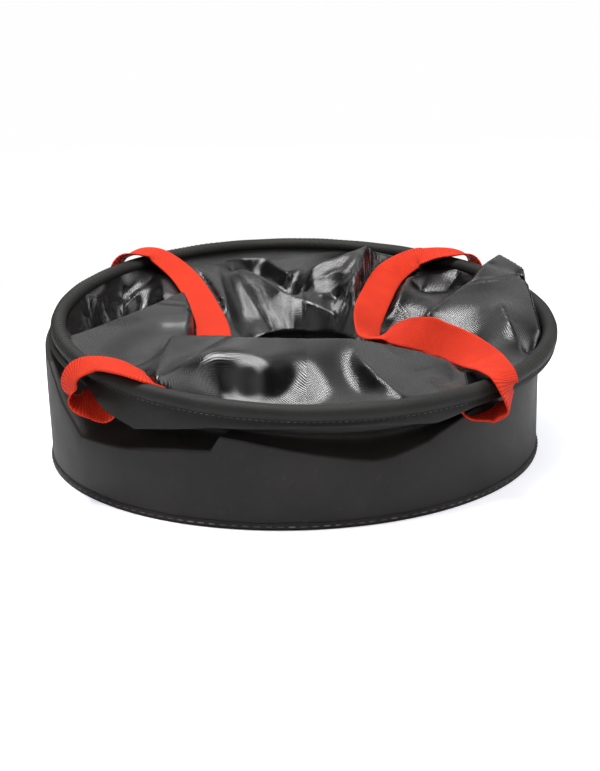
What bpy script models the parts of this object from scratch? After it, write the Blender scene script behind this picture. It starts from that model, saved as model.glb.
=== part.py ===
"""Collapsible camp bucket of coated fabric, lying folded down.

The round base stands on the floor inside a low upright wall. The rest of the wall is tucked
in under the rim hoop, which lies tilted on top, and two webbing handles loop over the rim.
Lengths are metres, +Z is up, and the origin is the middle of the base's underside.
What the rim carries is placed in the rim's own frame, with Z square to the hoop's plane.
"""

import math

import bmesh
import bpy
import numpy
from mathutils import Matrix, Vector

# The whole bucket
wall_radius = 0.1724
rim_radius = 0.170
rim_rest_height = 0.0914
rim_rest_shift_x = 0.0086
rim_rest_shift_y = -0.0011
rim_pitch_degrees = 7.62
rim_roll_degrees = 1.73

# Fabric and the gap between touching pieces
fabric_thickness = 0.0008
clearance = 0.0003

# Base
base_board_thickness = 0.002
base_hem_height = 0.0045
liner_hem_height = 0.0075
seam_thread_radius = 0.00035
base_seam_height = 0.0024

# Wall
seam_tape_width = 0.022
seam_tape_setback = 0.0012
fold_attach_drop = 0.0025
fold_wall_gap = 0.0006

# Rim
hoop_rod_radius = 0.0032
hoop_end_gap = 0.0006
ferrule_thickness = 0.0005
ferrule_length = 0.030
sleeve_slit_gap = 0.0009
sleeve_slit_degrees = -45
skirt_crease_reach = 0.0055
skirt_crease_shift = 0.0015
skirt_seam_gap = 0.0007
hem_thread_drop = 0.0012

# Folded wall, in the rim's frame
tuck_drop = 0.002
fold_inner_gap = 0.0075
fold_inner_radius = 0.0578
strap_clearance = 0.0018

# Handles
webbing_width = 0.025
webbing_thickness = 0.0016
strap_end_gap = 0.0004
tab_length = 0.0062
stitch_thread_radius = 0.0003
stitch_box_width = 0.018
stitch_box_length = 0.0032

# How finely round and folded pieces are cut
round_steps = 72
fold_steps = 52
rod_steps = 8
sleeve_steps = 8
ferrule_steps = 6
thread_sides = 4
wall_rows = 7
taut_rows = 33
taut_turns = 208
taut_rounds = 300
taut_pull = 1.8
strap_steps = 4
strap_easing = 12
strap_checks = 8
sharp_degrees = 40.0

# Heights that follow the turn of the wall, as angle in degrees and share of the rim radius
wall_top_drop_shares = (
    (-180, 0.075), (-160, 0.080), (-147, 0.137), (-128, 0.137), (-112, 0.105),
    (-90, 0.085), (-75, 0.092), (-62, 0.110), (-46, 0.110), (-32, 0.085), (0, 0.070),
    (34, 0.100), (50, 0.100), (66, 0.075), (90, 0.070), (124, 0.080), (136, 0.130),
    (151, 0.130), (166, 0.080), (180, 0.075),
)
skirt_drop_shares = (
    (-180, 0.041), (-160, 0.039), (-141, 0.040), (-131, 0.062), (-122, 0.112),
    (-108, 0.060), (-90, 0.036), (-76, 0.039), (-65, 0.064), (-56, 0.040), (-30, 0.039),
    (90, 0.039), (180, 0.041),
)
wall_dent_shares = (
    (-180, 0.0), (-150, 0.004), (-138, 0.016), (-123, 0.0), (-108, 0.030), (-88, 0.030),
    (-77, 0.036), (-64, 0.002), (-50, 0.012), (-30, 0.0), (180, 0.0),
)
dent_start_share = 0.42

# Folds of the tucked wall: lines along which it is creased, as points in the rim's frame,
# in shares of its radius. Between them the sheet is taut.
fold_crease_shares = (
    # the broad front fold: its crest, its swelling, its left edge and its right ridges
    ((-0.50, -0.45, 0.06), (-0.07, -0.47, 0.065), (0.16, -0.47, 0.06)),
    ((-0.47, -0.75, 0.035), (-0.28, -0.60, 0.055), (-0.13, -0.72, 0.03), (0.01, -0.54, 0.035)),
    ((-0.50, -0.45, 0.06), (-0.50, -0.62, 0.03), (-0.50, -0.79, 0.0)),
    ((0.16, -0.47, 0.06), (0.21, -0.59, 0.04), (0.32, -0.84, 0.005)),
    ((0.16, -0.47, 0.06), (0.42, -0.52, 0.03), (0.52, -0.58, 0.01), (0.52, -0.70, -0.02)),
    # the flat at the left, with its straight edge
    ((-0.91, -0.31, -0.005), (-0.72, -0.05, 0.0), (-0.54, 0.24, 0.0)),
    ((-0.76, -0.33, -0.06), (-0.57, -0.49, -0.08)),
    # the leaf and the cone behind it
    ((-0.92, 0.11, -0.035), (-0.91, 0.35, -0.03), (-0.78, 0.57, -0.09)),
    ((-0.76, 0.15, -0.06), (-0.71, 0.46, -0.05), (-0.67, 0.65, -0.03), (-0.63, 0.34, -0.06)),
    # the flat at the back, and the flap that hangs below it
    ((-0.52, 0.66, -0.025), (-0.31, 0.85, -0.025), (-0.18, 0.84, -0.03), (-0.07, 0.61, -0.03),
     (0.03, 0.75, -0.025)),
    ((-0.33, 0.78, -0.07), (-0.16, 0.71, -0.09), (-0.06, 0.53, -0.105), (0.15, 0.33, -0.14)),
    # the peak at the back right
    ((0.46, 0.68, 0.05), (0.30, 0.69, 0.09), (0.18, 0.62, 0.045), (0.04, 0.60, 0.0)),
    ((0.30, 0.69, 0.09), (0.26, 0.38, 0.0)),
    # between the straps
    ((0.54, 0.77, -0.035), (0.80, 0.79, -0.02)),
    ((0.55, 0.56, -0.105), (0.67, 0.53, -0.095), (0.73, 0.61, -0.05)),
    # the high fold at the right: its ridge, its peak and its falling creases
    ((0.50, -0.09, 0.02), (0.65, 0.04, 0.095), (0.79, 0.19, 0.145), (0.86, 0.31, 0.165)),
    ((0.86, 0.31, 0.165), (0.94, 0.20, 0.14), (0.92, -0.12, 0.095), (0.91, -0.31, 0.045),
     (0.84, -0.42, -0.02)),
    ((0.79, -0.07, 0.105), (0.81, -0.29, 0.05)),
    # valleys: beside the front fold, along the rim under it, and the pockets
    ((0.14, -0.41, -0.01), (0.17, -0.53, -0.05), (0.22, -0.76, -0.06)),
    ((-0.34, -0.74, -0.06), (0.0, -0.75, -0.09), (0.20, -0.72, -0.075)),
    ((-0.89, -0.22, -0.13), (-0.92, 0.0, -0.16), (-0.87, 0.32, -0.16)),
    ((-0.84, 0.05, -0.25), (-0.75, 0.13, -0.25)),
    ((-0.32, 0.78, -0.165), (-0.18, 0.69, -0.18)),
    ((-0.08, 0.49, -0.20), (-0.13, 0.39, -0.22)),
    ((0.36, 0.28, -0.21), (0.56, 0.21, -0.21)),
    ((0.94, -0.12, -0.12), (0.94, 0.12, -0.08)),
)
fold_radius_shares = (0.93, 0.84, 0.74, 0.63, 0.52, 0.43)
fold_inner_share = -0.25
fold_inner_sway_share = 0.024
under_radius_shares = (0.58, 0.80)
under_height_shares = (-0.35, -0.325)

# Straps in the rim's frame, as shares of its radius: a point, then the way the width lies
left_route_shares = (
    ((-0.785, 0.634, -0.046), (-0.63, -0.78, 0.00)),
    ((-0.800, 0.644, -0.078), (-0.62, -0.78, 0.00)),
    ((-0.838, 0.634, -0.090), (-0.59, -0.81, 0.00)),
    ((-0.864, 0.616, -0.050), (-0.55, -0.83, 0.00)),
    ((-0.864, 0.616, 0.000), (-0.50, -0.86, 0.00)),
    ((-0.834, 0.640, 0.036), (-0.42, -0.91, 0.00)),
    ((-0.778, 0.670, 0.050), (-0.38, -0.92, 0.00)),
    ((-0.715, 0.686, 0.045), (-0.44, -0.90, 0.00)),
    ((-0.655, 0.662, 0.016), (-0.55, -0.83, -0.05)),
    ((-0.565, 0.580, -0.030), (-0.62, -0.77, -0.05)),
    ((-0.490, 0.440, -0.070), (-0.68, -0.72, 0.05)),
    ((-0.415, 0.220, -0.105), (-0.78, -0.60, 0.14)),
    ((-0.380, 0.020, -0.115), (-0.92, -0.37, 0.14)),
    ((-0.375, -0.250, -0.120), (-0.98, 0.10, 0.00)),
    ((-0.390, -0.500, -0.100), (-0.85, 0.45, -0.20)),
    ((-0.450, -0.690, -0.044), (-0.50, 0.75, -0.42)),
    ((-0.545, -0.762, 0.020), (-0.20, 0.91, -0.36)),
    ((-0.630, -0.752, 0.044), (-0.15, 0.97, -0.18)),
    ((-0.710, -0.715, 0.048), (-0.16, 0.98, -0.06)),
    ((-0.781, -0.706, 0.036), (-0.32, 0.94, 0.00)),
    ((-0.824, -0.708, 0.008), (-0.52, 0.85, 0.00)),
    ((-0.838, -0.718, -0.034), (-0.60, 0.80, 0.00)),
    ((-0.832, -0.728, -0.068), (-0.45, 0.89, -0.04)),
    ((-0.802, -0.736, -0.094), (-0.22, 0.97, -0.02)),
    ((-0.760, -0.744, -0.102), (-0.16, 0.98, 0.06)),
    ((-0.718, -0.744, -0.100), (-0.24, 0.97, 0.04)),
    ((-0.696, -0.742, -0.082), (-0.48, 0.88, 0.00)),
    ((-0.690, -0.742, -0.064), (-0.68, 0.73, 0.00)),
    ((-0.690, -0.742, -0.046), (-0.73, 0.68, 0.00)),
)
right_route_shares = (
    ((0.750, 0.674, -0.046), (0.67, -0.74, 0.00)),
    ((0.764, 0.686, -0.078), (0.66, -0.75, 0.00)),
    ((0.794, 0.694, -0.090), (0.62, -0.78, 0.00)),
    ((0.822, 0.690, -0.050), (0.56, -0.83, 0.00)),
    ((0.822, 0.694, 0.000), (0.48, -0.88, 0.00)),
    ((0.792, 0.711, 0.038), (0.40, -0.91, 0.00)),
    ((0.735, 0.728, 0.049), (0.37, -0.93, 0.00)),
    ((0.655, 0.731, 0.045), (0.37, -0.93, 0.02)),
    ((0.588, 0.730, 0.028), (0.42, -0.91, 0.00)),
    ((0.525, 0.728, 0.006), (0.44, -0.87, -0.21)),
    ((0.415, 0.655, -0.047), (0.80, -0.50, -0.33)),
    ((0.314, 0.440, -0.092), (0.90, -0.35, -0.20)),
    ((0.268, 0.270, -0.115), (0.96, -0.20, -0.15)),
    ((0.250, 0.120, -0.122), (0.98, 0.00, -0.15)),
    ((0.262, 0.000, -0.118), (0.94, 0.28, -0.10)),
    ((0.300, -0.075, -0.092), (0.60, 0.78, 0.05)),
    ((0.375, -0.108, -0.050), (0.12, 0.97, 0.20)),
    ((0.479, -0.218, -0.017), (0.05, 0.62, 0.78)),
    ((0.523, -0.303, -0.008), (0.03, 0.68, 0.73)),
    ((0.597, -0.429, 0.003), (0.25, 0.88, 0.38)),
    ((0.640, -0.556, 0.016), (0.44, 0.89, 0.08)),
    ((0.649, -0.642, 0.032), (0.52, 0.85, -0.04)),
    ((0.664, -0.722, 0.041), (0.49, 0.87, -0.04)),
    ((0.688, -0.782, 0.027), (0.40, 0.92, -0.02)),
    ((0.713, -0.812, -0.012), (0.34, 0.94, 0.00)),
    ((0.713, -0.806, -0.048), (0.24, 0.97, -0.06)),
    ((0.696, -0.788, -0.080), (0.12, 0.98, -0.12)),
    ((0.662, -0.770, -0.098), (0.06, 0.99, -0.06)),
    ((0.620, -0.764, -0.101), (0.08, 0.99, 0.00)),
    ((0.576, -0.762, -0.098), (0.12, 0.99, 0.00)),
    ((0.548, -0.759, -0.076), (0.14, 0.99, 0.00)),
    ((0.541, -0.758, -0.046), (0.15, 0.99, 0.00)),
)
left_cut_places = (8, 16)
right_cut_places = (8, 21)
tab_setback = 0.0018
tab_height_share = -0.0378
left_pivot_share = -0.715
right_pivot_share = 0.660
pivot_height_share = 0.045

# Sizes that follow from those above
ferrule_inner_radius = hoop_rod_radius + clearance
ferrule_outer_radius = ferrule_inner_radius + ferrule_thickness
sleeve_inner_radius = ferrule_outer_radius + clearance
sleeve_outer_radius = sleeve_inner_radius + fabric_thickness
base_board_bottom = fabric_thickness + clearance
base_liner_bottom = base_board_bottom + base_board_thickness + clearance
base_liner_top = base_liner_bottom + fabric_thickness
wall_inner_radius = wall_radius - fabric_thickness
liner_radius = wall_inner_radius - clearance
base_board_radius = liner_radius
base_hem_inner_radius = wall_radius + clearance
base_hem_outer_radius = base_hem_inner_radius + fabric_thickness

rim_frame = (
    Matrix.Translation((rim_rest_shift_x, rim_rest_shift_y, rim_rest_height))
    @ Matrix.Rotation(math.radians(rim_pitch_degrees), 4, "X")
    @ Matrix.Rotation(math.radians(rim_roll_degrees), 4, "Y")
)


def clear_scene():
    """Empty the scene before the bucket is made."""
    for thing in list(bpy.data.objects):
        bpy.data.objects.remove(thing, do_unlink=True)


def finish(name, color, roughness, metallic=0.0):
    """Make one plain material."""
    material = bpy.data.materials.new(name)
    material.use_nodes = True
    shader = material.node_tree.nodes["Principled BSDF"]
    shader.inputs["Base Color"].default_value = (*color, 1.0)
    shader.inputs["Roughness"].default_value = roughness
    shader.inputs["Metallic"].default_value = metallic
    material.diffuse_color = (*color, 1.0)
    return material


def add_piece(name, shell, material, parent=None):
    """Turn vertices and faces into one named object whose faces point outward."""
    vertices, faces = shell
    mesh = bpy.data.meshes.new(name)
    mesh.from_pydata([tuple(v) for v in vertices], [], faces)
    work = bmesh.new()
    work.from_mesh(mesh)
    bmesh.ops.recalc_face_normals(work, faces=work.faces)
    work.to_mesh(mesh)
    work.free()
    mesh.shade_smooth()
    mesh.set_sharp_from_angle(angle=math.radians(sharp_degrees))
    mesh.materials.append(material)
    piece = bpy.data.objects.new(name, mesh)
    bpy.context.collection.objects.link(piece)
    piece.parent = parent


def add_frame(name, matrix, parent=None):
    """Place an empty that carries the pieces of one moving body."""
    empty = bpy.data.objects.new(name, None)
    empty.empty_display_size = rim_radius
    bpy.context.collection.objects.link(empty)
    empty.parent = parent
    empty.matrix_basis = matrix
    return empty


def loft(sections, closed):
    """Join equal loops of points one after another, round to the first or capped at both ends."""
    count = len(sections[0])
    vertices = [point for section in sections for point in section]
    faces = []
    joins = len(sections) if closed else len(sections) - 1
    for step in range(joins):
        here = step * count
        there = (step + 1) % len(sections) * count
        for side in range(count):
            after = (side + 1) % count
            faces.append((here + side, here + after, there + after, there + side))
    if not closed:
        faces.append(tuple(range(count)))
        faces.append(tuple(range(len(vertices) - 1, len(vertices) - 1 - count, -1)))
    return vertices, faces


def sheet(sections, closed):
    """A thin sheet whose two sides are split the same way, so a twist leaves it as thick."""
    vertices, faces = loft(sections, closed)
    count = len(sections[0])
    joins = len(sections) if closed else len(sections) - 1
    split = []
    for spot, (a, b, c, d) in enumerate(faces[: joins * count]):
        if spot % count < count // 2:
            split += [(a, b, c), (a, c, d)]
        else:
            split += [(a, b, d), (b, c, d)]
    return vertices, split + faces[joins * count :]


def polar(radius, angle, height):
    """A point from its distance to the Z axis, its turn in radians and its height."""
    return Vector((radius * math.cos(angle), radius * math.sin(angle), height))


def turns(count):
    """Evenly spaced angles round a full circle, from the back."""
    return [math.pi / 2 + 2 * math.pi * step / count for step in range(count)]


def ease(share):
    """Run smoothly from 0 to 1."""
    share = min(max(share, 0.0), 1.0)
    return share * share * (3 - 2 * share)


def around(table, angle):
    """Read a table of angles in degrees and values, smoothly between its rows."""
    degrees = (math.degrees(angle) + 180) % 360 - 180
    for (low, before), (high, after) in zip(table, table[1:]):
        if degrees <= high:
            share = ease((degrees - low) / (high - low))
            if isinstance(before, tuple):
                return [a + (b - a) * share for a, b in zip(before, after)]
            return before + (after - before) * share
    return table[-1][1]


def rim_plane_height(x, y):
    """Height of the rim's plane over a point of the floor."""
    normal = rim_frame.to_3x3() @ Vector((0, 0, 1))
    centre = rim_frame.translation
    return centre.z - (normal.x * (x - centre.x) + normal.y * (y - centre.y)) / normal.z


def wall_top(angle):
    """Height of the upright wall's top edge."""
    edge = polar(wall_radius, angle, 0)
    return rim_plane_height(edge.x, edge.y) - around(wall_top_drop_shares, angle) * rim_radius


def wall_dent(angle, height):
    """How far the upright wall is pushed in, which grows toward its top edge."""
    rise = (height / wall_top(angle) - dent_start_share) / (1 - dent_start_share)
    return around(wall_dent_shares, angle) * rim_radius * ease(rise)


def disc(radius, low, high):
    """A flat round plate."""
    return loft([[polar(radius, a, z) for a in turns(round_steps)] for z in (low, high)], False)


def band(inner, outer, low, high):
    """A flat upright strip bent into a ring."""
    corners = ((outer, low), (outer, high), (inner, high), (inner, low))
    return loft([[polar(r, a, z) for r, z in corners] for a in turns(round_steps)], True)


def dish(outer, low, rim_top):
    """A round fabric plate with its edge turned up."""
    inner = outer - fabric_thickness
    corners = (
        (outer, low), (outer, rim_top), (inner, rim_top), (inner, low + fabric_thickness),
    )
    rings = [[polar(r, a, z) for a in turns(round_steps)] for r, z in corners]
    return loft(rings, False)


def tube_point(ring_radius, tube_radius, angle, bend, height=0.0):
    """A point on a tube bent into a ring, from its turns along and round the tube."""
    return polar(
        ring_radius + tube_radius * math.cos(bend), angle, height + tube_radius * math.sin(bend)
    )


def bends(count):
    """Evenly spaced turns round a tube or a thread."""
    return [2 * math.pi * side / count for side in range(count)]


def thread_ring(ring_radius, height):
    """A closed ring of seam thread."""
    return loft(
        [
            [tube_point(ring_radius, seam_thread_radius, a, b, height) for b in bends(thread_sides)]
            for a in turns(round_steps)
        ],
        True,
    )


def make_base(black, thread, board):
    """The panel that stands on the floor, the hem above its edge, and the board and liner inside."""
    add_piece("base_panel", disc(base_hem_outer_radius, 0, fabric_thickness), black)
    hem_bottom = fabric_thickness + clearance
    add_piece(
        "base_hem",
        band(base_hem_inner_radius, base_hem_outer_radius, hem_bottom, base_hem_height),
        black,
    )
    add_piece(
        "base_board",
        disc(base_board_radius, base_board_bottom, base_board_bottom + base_board_thickness),
        board,
    )
    liner_rim = base_liner_bottom + liner_hem_height
    add_piece("base_liner", dish(liner_radius, base_liner_bottom, liner_rim), black)
    seam_radius = base_hem_outer_radius + clearance + seam_thread_radius
    add_piece("base_seam_thread", thread_ring(seam_radius, base_seam_height), thread)


def make_lower_wall(black):
    """The part of the wall that stays upright, dented under the rim at the front."""
    sections = []
    for angle in turns(round_steps):
        foot = base_board_bottom
        heights = [
            foot + (wall_top(angle) - foot) * row / (wall_rows - 1) for row in range(wall_rows)
        ]
        outer = [polar(wall_radius - wall_dent(angle, z), angle, z) for z in heights]
        inner = [polar(wall_inner_radius - wall_dent(angle, z), angle, z) for z in heights]
        sections.append(outer + inner[::-1])
    add_piece("lower_wall", loft(sections, True), black)


def make_seam_tape(black):
    """The strip that covers the wall's upright seam at the back."""
    inner = wall_radius + clearance
    outer = inner + fabric_thickness
    step = 2 * math.pi / round_steps
    half = int(seam_tape_width / 2 / (wall_radius * step) + 1)
    sections = []
    for turn in range(-half, half + 1):
        angle = math.pi / 2 + turn / half * seam_tape_width / 2 / wall_radius
        low = base_hem_height + clearance
        high = wall_top(angle) - seam_tape_setback
        sections.append(
            [polar(inner, angle, low), polar(outer, angle, low),
             polar(outer, angle, high), polar(inner, angle, high)]
        )
    add_piece("wall_seam_tape", loft(sections, False), black)


def taut_sheet():
    """Heights of the tucked sheet over a polar grid, held at its creases and taut between them."""
    outer_radius = rim_radius - sleeve_outer_radius - clearance - fabric_thickness / 2
    radii = numpy.linspace(fold_inner_radius, outer_radius, taut_rows)
    angles = 2 * math.pi * numpy.arange(taut_turns) / taut_turns
    inner = (fold_inner_share + fold_inner_sway_share * numpy.sin(3 * angles)) * rim_radius
    share = (radii[:, None] - fold_inner_radius) / (outer_radius - fold_inner_radius)
    heights = inner + (-tuck_drop - inner) * share
    free = numpy.ones(heights.shape, bool)
    free[0] = free[-1] = False
    step = radii[1] - radii[0]
    for line in fold_crease_shares:
        points = [Vector(point) * rim_radius for point in line]
        for start, end in zip(points, points[1:]):
            count = int((end - start).length / (step / 2)) + 1
            for part in range(count + 1):
                spot = start.lerp(end, part / count)
                row = round((math.hypot(spot.x, spot.y) - fold_inner_radius) / step)
                turn = round(math.atan2(spot.y, spot.x) / (2 * math.pi) * taut_turns) % taut_turns
                if 0 < row < taut_rows - 1:
                    heights[row, turn] = spot.z
                    free[row, turn] = False
    middle = radii[1:-1, None]
    outward = 1 + step / (2 * middle)
    inward = 1 - step / (2 * middle)
    sideways = (step * taut_turns / (2 * math.pi * middle)) ** 2
    odd = numpy.indices(heights.shape).sum(0) % 2
    for spot in range(2 * taut_rounds):
        mask = (free & (odd == spot % 2))[1:-1]
        beside = numpy.roll(heights, 1, 1)[1:-1] + numpy.roll(heights, -1, 1)[1:-1]
        taut = heights[2:] * outward + heights[:-2] * inward + beside * sideways
        taut /= outward + inward + 2 * sideways
        heights[1:-1][mask] += taut_pull * (taut - heights[1:-1])[mask]
    return radii, heights


def fold_heights(straps):
    """Heights of the tucked sheet where its faces meet, pressed down to just below the straps."""
    radii, taut = taut_sheet()
    rings = [radii[-1], *(share * rim_radius for share in fold_radius_shares), radii[0]]
    angles = turns(fold_steps)
    heights = []
    for ring in rings:
        row = (ring - radii[0]) / (radii[1] - radii[0])
        low = min(int(row), taut_rows - 2)
        blend = taut[low] + (taut[low + 1] - taut[low]) * (row - low)
        spots = [round(a / (2 * math.pi) * taut_turns) % taut_turns for a in angles]
        heights.append([blend[spot] for spot in spots])
    for _ in range(taut_rounds // 5):
        for spot in straps:
            ring = math.hypot(spot.x, spot.y)
            if not rings[-1] < ring < rings[0]:
                continue
            row = next(k for k in range(1, len(rings)) if ring >= rings[k])
            inward = (rings[row - 1] - ring) / (rings[row - 1] - rings[row])
            turn = (math.atan2(spot.y, spot.x) - angles[0]) / (2 * math.pi) * fold_steps
            turn %= fold_steps
            left = int(turn) % fold_steps
            right, across = (left + 1) % fold_steps, turn - int(turn)
            corners = [(row - 1, left, 1 - max(inward, across)), (row, right, min(inward, across))]
            if across <= inward:
                corners.append((row, left, inward - across))
            else:
                corners.append((row - 1, right, across - inward))
            excess = sum(heights[k][t] * part for k, t, part in corners) - spot.z
            if excess > 0:
                high = [(k, t) for k, t, _ in corners
                        if 0 < k < len(rings) - 1 and heights[k][t] > spot.z]
                for k, t in high:
                    heights[k][t] = max(heights[k][t] - excess, spot.z)
    return heights, rings, angles


def under_strap(sections):
    """Points just below a strap's underside, from edge to edge along it."""
    drop = Vector((0, 0, webbing_thickness / 2 + fabric_thickness / 2 + strap_clearance))
    points = []
    for here, there in zip(sections, sections[1:]):
        for step in range(strap_steps):
            first, last = (here[k].lerp(there[k], step / strap_steps) for k in (0, 2))
            points += [first.lerp(last, part / strap_checks) - drop
                       for part in range(strap_checks + 1)]
    return points


def fold_line(turn, heights, rings, angles):
    """The tucked wall's line at one angle: in from the rim, over the folds and back to the wall."""
    angle = angles[turn]
    line = [rim_frame @ polar(r, angle, row[turn]) for r, row in zip(rings, heights)]
    inner_top = heights[-1][turn]
    line.append(rim_frame @ polar(fold_inner_radius, angle, inner_top - fold_inner_gap))
    for radius_share, height in zip(under_radius_shares, under_height_shares):
        line.append(rim_frame @ polar(radius_share * rim_radius, angle, height * rim_radius))
    foot = wall_top(angle) - fold_attach_drop
    reach = wall_inner_radius - wall_dent(angle, foot) - fold_wall_gap - fabric_thickness / 2
    line.append(polar(reach, angle, foot))
    return line


def make_folded_wall(black):
    """The rest of the wall, one sheet folded in under the rim, round an open middle."""
    straps = []
    for shares, (back, front) in ((left_route_shares, left_cut_places),
                                  (right_route_shares, right_cut_places)):
        inside = slice((back - 1) * strap_steps, (front + 1) * strap_steps + 1)
        straps += under_strap(webbing(smooth_route(shares))[inside])
    shape = fold_heights(straps)
    lines = [fold_line(turn, *shape) for turn in range(fold_steps)]
    sections = []
    for turn, line in enumerate(lines):
        left, right = lines[turn - 1], lines[(turn + 1) % fold_steps]
        upper, lower = [], []
        for spot, point in enumerate(line):
            before = line[max(spot - 1, 0)]
            after = line[min(spot + 1, len(line) - 1)]
            across = right[spot] - left[spot]
            square = (after - before).cross(across).normalized() * fabric_thickness / 2
            upper.append(point + square)
            lower.append(point - square)
        sections.append(upper + lower[::-1])
    add_piece("folded_wall", sheet(sections, True), black)


def make_rim(frame, sleeve_black, black, rod, metal, thread):
    """The hoop in its sleeve, the ferrule on its ends, the skirt below and the hem's thread."""
    back = math.pi / 2
    gap = hoop_end_gap / rim_radius
    rings = []
    for step in range(round_steps + 1):
        angle = back + gap / 2 + (2 * math.pi - gap) * step / round_steps
        rings.append([tube_point(rim_radius, hoop_rod_radius, angle, b) for b in bends(rod_steps)])
    add_piece("rim_hoop", loft(rings, False), rod, frame)

    length = ferrule_length / rim_radius
    along = [back + length * (step / ferrule_steps - 0.5) for step in range(ferrule_steps + 1)]
    ribs = []
    for b in bends(rod_steps):
        outer = [tube_point(rim_radius, ferrule_outer_radius, a, b) for a in along]
        inner = [tube_point(rim_radius, ferrule_inner_radius, a, b) for a in along]
        ribs.append(outer + inner[::-1])
    add_piece("hoop_ferrule", loft(ribs, True), metal, frame)

    slit_middle = math.radians(sleeve_slit_degrees)
    slit = sleeve_slit_gap / sleeve_outer_radius
    spread = [
        slit_middle + slit / 2 + (2 * math.pi - slit) * step / sleeve_steps
        for step in range(sleeve_steps + 1)
    ]
    sections = []
    for angle in turns(round_steps):
        outer = [tube_point(rim_radius, sleeve_outer_radius, angle, b) for b in spread]
        inner = [tube_point(rim_radius, sleeve_inner_radius, angle, b) for b in spread]
        sections.append(outer + inner[::-1])
    add_piece("rim_sleeve", loft(sections, True), sleeve_black, frame)

    reach = sleeve_outer_radius + skirt_seam_gap
    sections, threads = [], []
    for angle in turns(round_steps):
        top = Vector((rim_radius + reach * math.cos(slit_middle), reach * math.sin(slit_middle)))
        crease_radius = rim_radius + skirt_crease_reach - skirt_crease_shift * math.cos(angle)
        crease = Vector((crease_radius, -around(skirt_drop_shares, angle) * rim_radius))
        run = (crease - top).normalized()
        square = Vector((-run.y, run.x)) * fabric_thickness / 2
        line = [top, (top + crease) / 2, crease]
        outline = [p + square for p in line] + [p - square for p in line[::-1]]
        sections.append([polar(p.x, angle, p.y) for p in outline])
        lift = fabric_thickness / 2 + clearance + seam_thread_radius
        spot = top + run * hem_thread_drop + square.normalized() * lift
        threads.append(
            [tube_point(spot.x, seam_thread_radius, angle, b, spot.y) for b in bends(thread_sides)]
        )
    add_piece("rim_skirt", loft(sections, True), black, frame)
    add_piece("rim_hem_thread", loft(threads, True), thread, frame)


def smooth_route(shares):
    """Points and width directions along a strap, read from a smooth curve through its places."""
    points = [Vector(point) * rim_radius for point, _ in shares]
    widths = [Vector(width).normalized() for _, width in shares]
    route = []
    for spot in range(len(points) - 1):
        p0, p3 = points[max(spot - 1, 0)], points[min(spot + 2, len(points) - 1)]
        p1, p2 = points[spot], points[spot + 1]
        for step in range(strap_steps):
            t = step / strap_steps
            place = (
                2 * p1 + (p2 - p0) * t + (2 * p0 - 5 * p1 + 4 * p2 - p3) * t**2
                + (3 * p1 - p0 - 3 * p2 + p3) * t**3
            ) / 2
            route.append((place, widths[spot].lerp(widths[spot + 1], t).normalized()))
    route.append((points[-1], widths[-1]))
    return route


def webbing(route):
    """Cross-sections of a flat strip of webbing along a route."""
    places = [place for place, _ in route]
    sides = [width for _, width in route]
    last = len(route) - 1
    runs = [
        (places[min(spot + 1, last)] - places[max(spot - 1, 0)]).normalized()
        for spot in range(last + 1)
    ]
    for _ in range(strap_easing):
        sides = [(side - run * side.dot(run)).normalized() for side, run in zip(sides, runs)]
        eased = [a + b * 2 + c for a, b, c in zip(sides, sides[1:], sides[2:])]
        sides = [sides[0], *eased, sides[-1]]
    sections = []
    for place, side, run in zip(places, sides, runs):
        side = (side - run * side.dot(run)).normalized()
        face = side.cross(run) * webbing_thickness / 2
        side = side * webbing_width / 2
        sections.append([place + side + face, place + side - face,
                         place - side - face, place - side + face])
    return sections


def moved(shell, matrix):
    """The same shell seen from another frame."""
    vertices, faces = shell
    return [matrix @ v for v in vertices], faces


def strap_tab(end_point, side):
    """The strap's end, caught flat under the rim, and the thread that holds it."""
    side = Vector((side.x, side.y, 0)).normalized()
    outward = Vector((side.y, -side.x, 0))
    if outward.dot(end_point) < 0:
        outward.negate()
    start = end_point - outward * tab_setback
    start.z = tab_height_share * rim_radius
    tab = loft(webbing([(start, side), (start - outward * tab_length, side)]), False)
    middle = start - outward * tab_length / 2
    drop = Vector((0, 0, webbing_thickness / 2 + clearance + stitch_thread_radius))
    middle = middle - drop
    across, deep = side * stitch_box_width / 2, outward * stitch_box_length / 2
    corners = [middle + across + deep, middle - across + deep,
               middle - across - deep, middle + across - deep]
    up = Vector((0, 0, stitch_thread_radius))
    sections = []
    for spot, corner in enumerate(corners):
        out = (corner - middle).normalized() * stitch_thread_radius
        sections.append([corner + out, corner + up, corner - out, corner - up])
    return tab, loft(sections, True)


def cut_webbing(sections, first, last):
    """The stretch of webbing between two of its places, shortened for the gap at a cut end."""
    piece = sections[first * strap_steps : last * strap_steps + 1]
    more = len(sections) > last * strap_steps + 1
    for cut, spot, neighbour in ((first > 0, 0, 1), (more, -1, -2)):
        if cut:
            inward = sum(piece[neighbour], Vector()) - sum(piece[spot], Vector())
            square = (piece[spot][0] - piece[spot][2]).cross(piece[spot][1] - piece[spot][0])
            square = square.normalized() * strap_end_gap / 2
            if square.dot(inward) < 0:
                square.negate()
            piece[spot] = [corner + square for corner in piece[spot]]
    return sheet(piece, False)


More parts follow.
